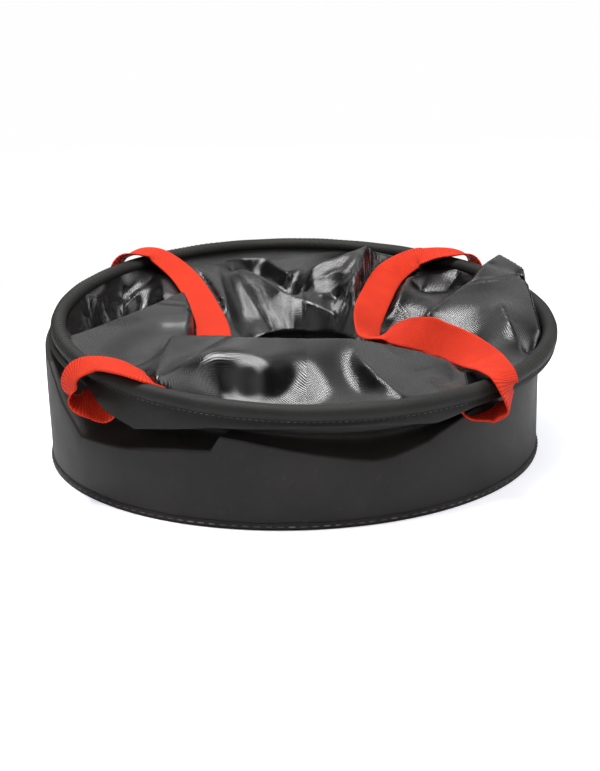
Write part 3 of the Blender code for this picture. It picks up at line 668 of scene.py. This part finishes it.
right_route_shares = (
    ((0.750, 0.674, -0.046), (0.67, -0.74, 0.00)),
    ((0.764, 0.686, -0.078), (0.66, -0.75, 0.00)),
    ((0.794, 0.694, -0.090), (0.62, -0.78, 0.00)),
    ((0.822, 0.690, -0.050), (0.56, -0.83, 0.00)),
    ((0.822, 0.694, 0.000), (0.48, -0.88, 0.00)),
    ((0.792, 0.711, 0.032), (0.40, -0.91, 0.00)),
    ((0.735, 0.728, 0.043), (0.37, -0.93, 0.00)),
    ((0.655, 0.731, 0.041), (0.37, -0.93, 0.02)),
    ((0.588, 0.730, 0.028), (0.42, -0.91, 0.00)),
    ((0.525, 0.728, 0.006), (0.44, -0.87, -0.21)),
    ((0.415, 0.655, -0.047), (0.80, -0.50, -0.33)),
    ((0.336, 0.440, -0.090), (0.86, -0.38, -0.32)),
    ((0.292, 0.270, -0.112), (0.80, -0.25, -0.55)),
    ((0.274, 0.120, -0.118), (0.74, 0.05, -0.66)),
    ((0.280, 0.000, -0.112), (0.68, 0.40, -0.60)),
    ((0.306, -0.075, -0.088), (0.45, 0.86, -0.20)),
    ((0.375, -0.108, -0.050), (0.12, 0.97, 0.20)),
    ((0.479, -0.218, -0.017), (0.05, 0.62, 0.78)),
    ((0.523, -0.303, -0.008), (0.03, 0.68, 0.73)),
    ((0.597, -0.429, 0.003), (0.25, 0.88, 0.38)),
    ((0.640, -0.556, 0.016), (0.44, 0.89, 0.08)),
    ((0.649, -0.642, 0.032), (0.52, 0.85, -0.04)),
    ((0.664, -0.722, 0.041), (0.49, 0.87, -0.04)),
    ((0.684, -0.780, 0.027), (0.36, 0.93, -0.02)),
    ((0.695, -0.799, -0.012), (0.30, 0.95, 0.00)),
    ((0.706, -0.800, -0.044), (0.24, 0.97, -0.04)),
    ((0.688, -0.786, -0.079), (0.12, 0.98, -0.12)),
    ((0.662, -0.770, -0.098), (0.06, 0.99, -0.06)),
    ((0.620, -0.764, -0.101), (0.08, 0.99, 0.00)),
    ((0.576, -0.762, -0.098), (0.12, 0.99, 0.00)),
    ((0.548, -0.759, -0.076), (0.14, 0.99, 0.00)),
    ((0.541, -0.758, -0.046), (0.15, 0.99, 0.00)),
)
route_steps, route_easing = 10, 75
cap_share = 0.02
tab_inset, tab_length, tab_rows = 1.8 * mm, 6.2 * mm, 4
tab_drop = 0.0378 * rim_radius
box_width, box_length, box_drop = 18 * mm, 3.2 * mm, 1.15 * mm
box_stitch_pitch, box_stitch_length, box_thread = 2.0 * mm, 1.6 * mm, 0.22 * mm
box_side_steps = 9
rib_pitch, cord_pitch = 1.45 * mm, 1.1 * mm

webbing, shader, start = new_finish("orange_webbing", Specular_IOR_Level=0.1)
over, length = start.place("UV").across_and_along()
ribs, cords = length.wave(rib_pitch), over.wave(cord_pitch)
weave = ribs * 0.7 + cords * ribs * 0.5
mottle = start.place().noise(55.0, 3.0, 0.6).step(0.3, 0.75)
red = mottle.between((0.58, 0.031, 0.009, 1), (0.67, 0.044, 0.013, 1))
# The grooves between the ribs, where the weave is low, are painted a darker red: painted shade, on
# top of the bump that sinks them.
drive(shader, Base_Color=weave.step(-0.9, 0.5).between((0.40, 0.018, 0.009, 1), red),
      Roughness=mottle * 0.12 + 0.62, Normal=weave.bump(1.0, 0.2 * mm))


def strap_route(table):
    """Places, width directions and run directions along a strap, in the rim's frame."""
    places = np.array([row[0] for row in table]) * rim_radius
    widths = np.array([row[1] for row in table])
    widths = widths / np.linalg.norm(widths, axis=1)[:, None]
    last = len(places) - 1
    spots, sides = [], []
    for place in range(last):
        p0, p1 = places[max(place - 1, 0)], places[place]
        p2, p3 = places[place + 1], places[min(place + 2, last)]
        for step in range(route_steps):
            t = step / route_steps
            spots.append((2 * p1 + (p2 - p0) * t + (2 * p0 - 5 * p1 + 4 * p2 - p3) * t ** 2
                          + (3 * p1 - p0 - 3 * p2 + p3) * t ** 3) / 2)
            sides.append(widths[place] * (1 - t) + widths[place + 1] * t)
    spots.append(places[-1])
    sides.append(widths[-1])
    spots, sides = np.array(spots), np.array(sides)
    runs = np.gradient(spots, axis=0)
    runs = runs / np.linalg.norm(runs, axis=1)[:, None]
    for _ in range(route_easing):
        sides = sides - runs * (sides * runs).sum(1)[:, None]
        sides = sides / np.linalg.norm(sides, axis=1)[:, None]
        sides[1:-1] = (sides[:-2] + sides[1:-1] * 2 + sides[2:]) / 4
    sides = sides - runs * (sides * runs).sum(1)[:, None]
    return spots, sides / np.linalg.norm(sides, axis=1)[:, None], runs


def strap_outline():
    """Outline of the webbing: nearly flat, a little thicker at its selvedges, with round edges."""
    half, deep = webbing_width / 2, webbing_thickness / 2
    selvedge, shoulder, edge_round = 2.4 * mm, 0.9 * mm, 0.25 * mm
    beside, flat, side = deep * 0.86, deep * 0.9, deep * 0.62
    middle = half * 0.4
    top = [(half - shoulder, deep), (half - selvedge, beside), (middle, flat), (-middle, flat),
           (-half + selvedge, beside), (-half + shoulder, deep)]
    edge = [(-half + edge_round, side), (-half, 0.0), (-half + edge_round, -side)]
    return np.array(top + edge + [(-x, -y) for x, y in top + edge])


def webbing_along(name, spots, sides, runs, down):
    """Webbing laid along a line of spots, capped at both ends."""
    outline = strap_outline()
    faces = np.cross(sides, runs)
    grid = (spots[:, None] + sides[:, None] * outline[None, :, :1]
            + faces[:, None] * outline[None, :, 1:])
    middle = grid.mean(1, keepdims=True)
    caps = middle + (grid - middle) * cap_share
    grid = np.concatenate([caps[:1], grid, caps[-1:]], 0)
    width = np.append(outline[:, 0], outline[0, 0])
    uv = np.stack(np.meshgrid(width, down), 2)
    return cloth(name, from_rim(grid), uv, webbing, sharp=60)


def strap_piece(name, route, first, last):
    """The stretch of a strap between two of its places."""
    spots, sides, runs = (part[first * route_steps : last * route_steps + 1] for part in route)
    steps = np.linalg.norm(np.diff(spots, axis=0), axis=1)
    down = np.concatenate([[0, 0], np.cumsum(steps), [steps.sum()]])
    return webbing_along(name, spots, sides, runs, down)


def sewn_end(name, tip, side_way):
    """The strap's flat end under the rim and the box of stitches through it, as two pieces."""
    side_way = side_way * (1, 1, 0)
    side_way = side_way / np.linalg.norm(side_way)
    outward = np.array((side_way[1], -side_way[0], 0.0))
    outward = outward * (1 if outward @ tip > 0 else -1)
    begin = (tip - outward * tab_inset) * (1, 1, 0) - np.array((0, 0, tab_drop))
    spots = begin - outward * tab_length * np.linspace(0, 1, tab_rows)[:, None]
    tab = webbing_along(name + "_webbing_tab", spots, np.tile(side_way, (tab_rows, 1)),
                        np.tile(-outward, (tab_rows, 1)), np.linspace(0, tab_length, tab_rows + 2))
    middle = begin - outward * tab_length / 2 - np.array((0, 0, box_drop))
    across, out = side_way * box_width / 2, outward * box_length / 2
    box = [middle + across + out, middle - across + out, middle - across - out,
           middle + across - out]
    line = np.concatenate([np.linspace(corner, after, box_side_steps)[:-1]
                           for corner, after in zip(box, box[1:] + box[:1])])
    rows = stitch_row(name + "_box_stitches", from_rim(line), box_stitch_pitch, box_stitch_length,
                      box_thread)
    return tab, rows


def make_handle(side, table, cuts):
    """One handle: the strap inside the rim, its two loops over the rim and their sewn ends."""
    route = strap_route(table)
    back, front, last = *cuts, len(table) - 1
    strap = strap_piece(side + "_webbing", route, back, front)
    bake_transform(strap)
    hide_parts(side + "_handle_strap")
    for end, first, second, tip in (("back", 0, back, 0), ("front", front, last, -1)):
        name = f"{side}_{end}"
        loop = strap_piece(name + "_webbing_loop", route, first, second)
        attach(loop, "rim")
        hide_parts(name + "_strap_loop")
        tab, rows = sewn_end(name, route[0][tip], route[1][tip])
        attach(tab, "rim")
        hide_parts(name + "_strap_end")
        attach(rows, "rim")
        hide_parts(name + "_strap_stitching")
    return route


left_strap = make_handle("left", left_route_shares, (7, 18))
right_strap = make_handle("right", right_route_shares, (7, 22))

# The view. The bucket stands on a pale floor and is seen from a little above, from the front.
# The same view places the folds and creases of the cloth, by where they lie in the picture.
picture_width, picture_height = 600, 771
picture_scale = 1016.905
view_place = np.array((0.0042148, -0.707233, 0.241172))
view_yaw, view_pitch, view_roll = -0.00048741, -0.28248834, 0.02006180
sensor_size = 36
view_turn = (
    Matrix.Rotation(view_yaw, 3, "Z")
    @ Matrix.Rotation(view_pitch, 3, "X")
    @ Matrix.Rotation(view_roll, 3, "Y")
)
lens = bpy.data.cameras.new("view")
lens.sensor_width = sensor_size
lens.lens = sensor_size * picture_scale / picture_height
lens.clip_start, lens.clip_end = 0.01, 20
view = bpy.data.objects.new("view", lens)
view.matrix_world = (
    Matrix.Translation(Vector(view_place))
    @ (view_turn @ Matrix.Rotation(math.pi / 2, 3, "X")).to_4x4()
)
bpy.context.collection.objects.link(view)
bpy.context.scene.camera = view


def seen_at(across, down, height):
    """The point of the picture at a height in millimetres over the rim's plane, in its frame."""
    local = ((across - picture_width / 2) / picture_scale, 1,
             (picture_height / 2 - down) / picture_scale)
    ray = np.array(view_turn) @ np.array(local)
    level = rim_middle + rim_up * height * mm
    reach = ((level - view_place) @ rim_up) / (ray @ rim_up)
    return (view_place + ray * reach - rim_middle) @ rim_turn


# The tucked wall. The rest of the sheet lies folded down inside the rim, its glossy inner side
# up, in stiff crisp creases with taut flats between them, round an open middle.
# A crease: whether it stays crisp, then its points: across and down in the picture, height in mm.
creases = (
    # the broad front fold: its crest, its swelling, its left edge and the creases to its right
    ("crisp", ((172, 335, 10), (224, 335.5, 10), (288, 337.5, 11), (310, 338, 10), (350, 338, 10))),
    ("soft", ((157, 381, 7.5), (167, 373, 8), (176, 367, 8.5), (190, 360, 9), (225, 353, 9.5),
              (250, 358, 8.5), (262, 366, 6.5))),
    ("soft", ((349, 339, 10), (306, 354, 7.5), (263, 367, 6.5))),
    ("crisp", ((172, 335, 10), (164, 358, 8.5), (155, 378, 8), (152, 385, 7))),
    # the ridge right of it, and the flat sheet from there to the strap and on under it
    ("crisp", ((350, 338, 10), (361, 359, 7), (378, 377, 4), (402, 394, 1))),
    ("crisp", ((351, 338, 10), (380, 343, 7), (419, 351, 5), (449, 362, 2))),
    ("crisp", ((449, 362, 2), (452, 383, -3))),
    ("crisp", ((460, 366, -22), (470, 376, -24))),
    # the flat at the left with its straight ridge
    ("crisp", ((69, 337, -1), (100, 325, 0), (130, 313, 0), (160, 301, 0), (184, 291, 0))),
    ("crisp", ((184, 291, 0), (195, 313, -2), (195, 333, -8))),
    ("soft", ((100, 345, -2), (130, 328, -1.5), (158, 312, -1.5))),
    ("soft", ((118, 366, -13), (153, 374, -15))),
    # the leaf-shaped fold in the pocket behind it, and the cone
    ("crisp", ((89, 309, -7), (97, 297, -5), (105, 289, -5), (117, 282, -8), (136, 285, -16))),
    ("crisp", ((89, 309, -8), (104, 303, -13), (118, 298, -18), (136, 286, -19))),
    ("crisp", ((161, 269, -5), (140, 290, -13), (127, 303, -18))),
    ("crisp", ((161, 269, -5), (163, 283, -7), (163, 296, -10))),
    ("crisp", ((168, 276, -30), (172, 292, -30))),
    # the flat at the back with its edge, and the edge of the sheet that falls beside the strap
    ("crisp", ((194, 268, -4), (208, 268, -6), (217, 266, -5), (222, 260.5, -4.5), (240, 258, -4.5),
               (266, 258, -5), (276, 265, -5), (287, 272, -6), (294, 267, -5), (303, 263, -4))),
    ("crisp", ((217, 266, -5), (221, 280, -9), (226, 297, -14), (228, 308, -18), (223, 318, -24))),
    # the flap that hangs into the middle: its upper edge and a notch
    ("crisp", ((234, 268, -9), (247, 269.5, -9), (261, 275.6, -10), (272, 283, -12), (280, 290, -14),
               (309, 302, -18), (334, 314, -23))),
    ("soft", ((273, 294.6, -17), (264, 311, -28), (256, 324, -35))),
    # the crumpled peak at the back right
    ("crisp", ((366, 245, 15), (340, 257, 8), (320, 263, 3), (312, 268, 0), (304, 285, -12))),
    ("crisp", ((366, 245, 15), (362, 268, 7), (360, 283, 0))),
    ("crisp", ((366, 245, 15), (384, 248, 12), (399, 253, 9))),
    ("crisp", ((304, 285, -12), (302, 292, -15), (322, 294, -14), (338, 300, -18))),
    ("soft", ((330, 276, -4), (345, 290, -9), (352, 304, -16))),
    # between the straps: a flat under the handle and a deep pocket
    ("crisp", ((412, 265, -6), (440, 267, -5), (466, 261, -3))),
    ("crisp", ((420, 293, -18), (446, 293, -16), (456, 278, -8))),
    # the high fold at the right: ridge, peak, crest behind and its two falling creases
    ("crisp", ((426, 315, 3), (440, 303, 8.5), (460, 288, 15.5), (475, 277.5, 20.5), (483, 265, 25),
               (500, 253, 28))),
    ("crisp", ((500, 253, 28), (524, 267, 24), (532, 300, 16), (541, 328, 8))),
    ("crisp", ((483, 265, 25), (490, 264, 24.5), (505, 272, 22.5), (522, 276, 22))),
    ("crisp", ((541, 328, 8), (535, 342, 2), (526, 355, -4))),
    ("crisp", ((501, 302, 16.6), (510, 322, 11), (524, 354, -1))),
    ("soft", ((470, 335, 5), (500, 350, 1), (515, 360, -3))),
)
# Valleys and pockets, in the rim's frame in millimetres: along, away and height.
valleys = (
    # along the rim under the front fold
    ((-85, -136, 4.5), (-79, -137, -1), (-72, -131, -4), (-66, -123, -7)),
    ((-62, -124, -10), (-50, -117, -15), (-36, -122, -15), (-27, -129, -14), (-16, -120, -14),
     (-6, -114, -11)),
    ((-62, -140, -15), (-40, -146, -18), (-20, -149, -18), (-2, -140, -15), (6, -140, -15)),
    # the slope beside its right half and the valley at the foot of the next ridge
    ((-1, -101, 7), (3, -110, 2.5), (9, -122, -3.5), (16, -136, -10)),
    ((25, -92, 5), (29, -104, -0.5), (34, -118, -6.5), (40, -134, -12)),
    # the fall of the flat at the left toward the viewer
    ((-126, -80, -9), (-111, -50, -9), (-97, -19, -8.5)),
    # the steep side under the rim at the left, and the floor of that pocket
    ((-151, -38, -14), (-157, -10, -24), (-157, 20, -32), (-148, 54, -38), (-134, 82, -40)),
    ((-138, -24, -20), (-136, 10, -30), (-128, 40, -38), (-120, 66, -44)),
    # below the edge of the flat at the back, behind the flap and beside it
    ((-57, 128, -20), (-49, 135, -27), (-32, 134, -29), (-22, 114, -30), (-12, 99, -30),
     (2, 90, -30)),
    ((-60, 104, -24), (-55, 80, -32), (-50, 62, -40)),
    # the pocket between the straps, and the foot of the high fold along the rim
    ((62, 48, -36), (84, 44, -38), (96, 36, -36)),
    ((160, -20, -20), (161, 0, -18), (159, 20, -14)),
)
# The edge round the open middle: the turn in degrees, then its height in millimetres.
fold_inner_line = (
    (-180, -44), (-140, -40), (-90, -43), (-40, -41), (0, -44), (40, -40), (62, -35), (80, -37),
    (100, -36), (118, -36), (135, -42), (180, -44),
)
fold_outer, fold_inner = 165.3 * mm, 58 * mm
fold_rows, fold_turns = 97, 600
fold_radii = np.linspace(fold_inner, fold_outer, fold_rows)
fold_angles = turn_angles(fold_turns)
fold_outer_height, fold_slope_height = -2.6 * mm, -2 * mm
hold_step = 0.4 * mm
# How the sheet settles: the rounds of a stage, then how far each goes toward the taut shape.
taut_rounds, taut_pull = 420, 1.9
ease_rounds, ease_pull = 40, 0.8
press_rounds, press_pull = 6, 0.5
last_rounds, last_pull = 2, 0.45
# The stretches of the straps that lie on the sheet, from one of a strap's places to another.
lying_straps = ((left_strap, 7.6, 12.8), (left_strap, 16.7, 18), (right_strap, 7.6, 21.9))
strap_seat, strap_seat_share, strap_lines = 0.9 * mm, 1.04, 45
# The small unevenness of the sheet: a wave all over, and sharp creases at the crumpled peak.
wave_size, wave_depth = 26 * mm, 0.45 * mm
crumple_place, crumple_spread = (32 * mm, 92 * mm), 17 * mm
crumple_size, crumple_depth, crumple_rise = 15 * mm, 4.5 * mm, 0.25
calm_rows = 8
# At the open middle the sheet turns under, and runs back out to the wall below the folds. A turn:
# its drop in millimetres, then its radius as a share of the edge's.
turns_under = ((1.5, 1.0), (4.0, 1.004), (7.5, 1.01))
under_shares = (0.25, 0.5, 0.75, 1.0)
under_radius, under_height, under_rise = 164 * mm, -54 * mm, 22 * mm
under_start, under_least_drop = 7.5 * mm, 8 * mm
uv_panels = 12
glossy = coated_fabric("glossy_coated_fabric", (0.005, 0.005, 0.0052), 0.15, 1.6 * mm, 0.055 * mm,
                       Specular_IOR_Level=0.55)


def fold_grid(x, y):
    """The row and the turn of the sheet's grid nearest to places of the rim's frame."""
    share = (np.hypot(x, y) - fold_inner) / (fold_outer - fold_inner)
    row = np.rint(share * (fold_rows - 1)).astype(int)
    turn = np.rint(np.arctan2(y, x) / whole_turn * fold_turns).astype(int) % fold_turns
    return row, turn, (row > 0) & (row < fold_rows - 1)


def hold(heights, masks, points):
    """Hold the sheet at a line of points, in the rim's frame, and mark it in each mask."""
    points = np.array(points)
    for a, b in zip(points, points[1:]):
        shares = np.linspace(0, 1, int(np.linalg.norm(b - a) / hold_step) + 2)
        spots = a + (b - a) * shares[:, None]
        row, turn, keep = fold_grid(spots[:, 0], spots[:, 1])
        heights[row[keep], turn[keep]] = spots[keep, 2]
        for mask in masks:
            mask[row[keep], turn[keep]] = True


def relax(heights, held, rounds, pull):
    """Let the sheet find its taut shape between the lines that hold it."""
    row, turn = np.indices(heights.shape)
    step = fold_radii[1] - fold_radii[0]
    radius = fold_radii[1:-1, None]
    outward = 1 / step ** 2 + 1 / (2 * radius * step)
    inward = 1 / step ** 2 - 1 / (2 * radius * step)
    sideways = 1 / (radius * whole_turn / fold_turns) ** 2
    total = outward + inward + 2 * sideways
    free = [((row + turn) % 2 == color)[1:-1] & ~held[1:-1] for color in (0, 1)]
    for _ in range(rounds):
        for mask in free:
            beside = np.roll(heights, 1, 1)[1:-1] + np.roll(heights, -1, 1)[1:-1]
            mean = (heights[2:] * outward + heights[:-2] * inward + beside * sideways) / total
            inner = heights[1:-1]
            inner[mask] += pull * (mean[mask] - inner[mask])


def below_strap(route, first, last):
    """How high the sheet may lie so as to stay just under a stretch of a strap."""
    spots, sides, _ = (part[int(first * route_steps) : int(last * route_steps)] for part in route)
    lid = np.full((fold_rows, fold_turns), 1.0)
    for share in np.linspace(-strap_seat_share, strap_seat_share, strap_lines):
        edge = spots + sides * share * webbing_width / 2
        row, turn, keep = fold_grid(edge[:, 0], edge[:, 1])
        low = edge[keep, 2] - webbing_thickness / 2 - strap_seat
        for down in (-1, 0, 1):
            for beside in (-2, -1, 0, 1, 2):
                spot = np.clip(row[keep] + down, 0, fold_rows - 1), (turn[keep] + beside) % fold_turns
                np.minimum.at(lid, spot, low)
    return lid


def tucked_heights():
    """How high each point of the folded sheet's upper side lies, in the rim's frame."""
    inner = around(fold_inner_line, fold_angles) * mm
    share = (fold_radii[:, None] - fold_inner) / (fold_outer - fold_inner)
    heights = inner + share * (fold_slope_height - inner)
    heights[-1] = fold_outer_height
    held, crisp, free = (np.zeros(heights.shape, bool) for _ in range(3))
    for kind, line in creases:
        masks = (held, crisp) if kind == "crisp" else (held,)
        hold(heights, masks, [seen_at(*point) for point in line])
    for line in valleys:
        hold(heights, (held,), np.array(line) * mm)
    relax(heights, held, taut_rounds, taut_pull)
    relax(heights, crisp, ease_rounds, ease_pull)
    lid = np.minimum.reduce([below_strap(*stretch) for stretch in lying_straps])
    for _ in range(press_rounds):
        heights[1:-1] = np.minimum(heights, lid)[1:-1]
        relax(heights, crisp & (heights < lid), 1, press_pull)
    heights[1:-1] = np.minimum(heights, lid)[1:-1]
    relax(heights, free, last_rounds, last_pull)
    return np.minimum(heights, lid + gap)


def tucked_wall():
    flat = around_axis(fold_radii[:, None], fold_angles, tucked_heights())
    for row in range(1, fold_rows - 1):
        calm = min(row, fold_rows - 1 - row, calm_rows) / calm_rows
        for turn in range(fold_turns):
            spot = Vector(flat[row, turn])
            across, away = flat[row, turn, :2] - crumple_place
            crumple = math.exp(-(across ** 2 + away ** 2) / (2 * crumple_spread ** 2))
            crease = crumple_rise - abs(noise.noise(spot / crumple_size))
            wave = noise.noise(spot / wave_size)
            flat[row, turn, 2] += calm * (wave_depth * wave + crumple * crumple_depth * crease)
    rows = list(flat[::-1])
    inner = rows[-1]
    for drop, spread in turns_under:
        rows.append(inner * (spread, spread, 1) - (0, 0, drop * mm))
    for share in under_shares:
        radius = fold_inner + (under_radius - fold_inner) * share
        low = under_height + under_rise * share ** 3
        level = (inner[:, 2] - under_start) * (1 - share) + low * share
        roof = inner[:, 2] - under_least_drop * (1 - share)
        rows.append(around_axis(radius, fold_angles, np.minimum(level, roof)))
    grid = np.array(rows)
    return cloth("tucked_wall_cloth", from_rim(grid), panelled(grid), glossy, flip=True)


def panelled(grid):
    """The sheet's flat places: a panel at a time, each measured from its own middle."""
    closed = np.concatenate([grid, grid[:, :1]], 1)
    down, along = run_lengths(closed, 0), run_lengths(closed, 1)
    last = grid.shape[0] - 1
    turns = np.arange(fold_turns)
    panel = fold_turns // uv_panels
    middle = turns // panel * panel + panel // 2
    uv = np.zeros((last, fold_turns, 4, 2))
    for corner, (row, turn) in enumerate(((0, 0), (1, 0), (1, 1), (0, 1))):
        beside = slice(row, row + last)
        uv[:, :, corner, 0] = along[beside][:, turns + turn] - along[beside][:, middle]
        uv[:, :, corner, 1] = down[beside][:, turns + turn]
    return uv


folds = tucked_wall()
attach(folds, "base")
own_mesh(folds)
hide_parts("folded_wall")

# The floor and the light. A pale floor under a large soft light overhead and behind, a soft
# light at the right and a weak one in front, as for a plain studio picture.
floor_size, floor_drop = 8, 0.2 * mm
floor_glow, floor_near, floor_far = 0.42, 0.3, 0.75
floor_finish, shader, start = new_finish("pale_floor", Roughness=0.8, Specular_IOR_Level=0.2)
shader.inputs["Base Color"].default_value = (0.86, 0.87, 0.90, 1)
in_view = start.ray("Is Camera Ray") + start.ray("Is Transmission Ray")
glow = start.node("ShaderNodeEmission", {}, {
    "Color": (0.93, 0.94, 1.0, 1), "Strength": in_view * floor_glow})
lit = start.node("ShaderNodeAddShader", {}, {0: Shade(start.tree, shader.outputs[0]), 1: glow})
white = start.node("ShaderNodeEmission", {}, {"Color": (1, 1, 1, 1), "Strength": 1.0})
far = start.node("ShaderNodeVectorMath", {"operation": "LENGTH"}, {"Vector": start.place()}, "Value")
surface = start.node("ShaderNodeMixShader", {}, {
    0: far.step(floor_near, floor_far) * in_view, 1: lit, 2: white})
out = start.tree.nodes["Material Output"]
start.tree.links.new(surface.source, out.inputs["Surface"])
bpy.ops.mesh.primitive_plane_add(size=floor_size, location=(0, 0, -floor_drop))
floor = bpy.context.object
floor.name = "floor"
floor.data.materials.append(floor_finish)

seen_white, spread_white, mirrored_white = 0.98, 0.3, 0.012
world = bpy.data.worlds.new("studio")
bpy.context.scene.world = world
world.use_nodes = True
sky = Shade(world.node_tree)
in_view = sky.ray("Is Camera Ray") + sky.ray("Is Transmission Ray")
strength = in_view * seen_white + sky.ray("Is Diffuse Ray") * spread_white + mirrored_white
back = world.node_tree.nodes["Background"]
back.inputs["Color"].default_value = (1, 1, 1, 1)
world.node_tree.links.new(strength.source, back.inputs["Strength"])


def soft_light(name, place, aim, size, power):
    lamp = bpy.data.lights.new(name, "AREA")
    lamp.shape = "RECTANGLE"
    lamp.size, lamp.size_y = size
    lamp.energy = power
    made = bpy.data.objects.new(name, lamp)
    made.location = place
    made.rotation_euler = (Vector(aim) - Vector(place)).to_track_quat("-Z", "Y").to_euler()
    bpy.context.collection.objects.link(made)


soft_light("back_light", (0, 1.25, 0.95), (0, 0, 0.05), (2.2, 0.7), 5)
soft_light("ceiling_light", (0, 0.45, 1.25), (0, 0.1, 0), (1.9, 1.1), 2.5)
soft_light("overhead_light", (-0.15, 0.0, 1.15), (0, 0, 0.05), (0.9, 0.5), 4)
soft_light("overhead_core_light", (-0.2, -0.1, 1.1), (0, 0, 0.05), (0.45, 0.2), 12)
soft_light("right_light", (1.1, 0.0, 0.75), (0, 0, 0.08), (0.7, 0.9), 8.5)
soft_light("front_light", (-0.5, -1.2, 0.8), (0, 0, 0.05), (0.9, 0.7), 3.4)

bpy.context.scene.view_settings.view_transform = "Standard"
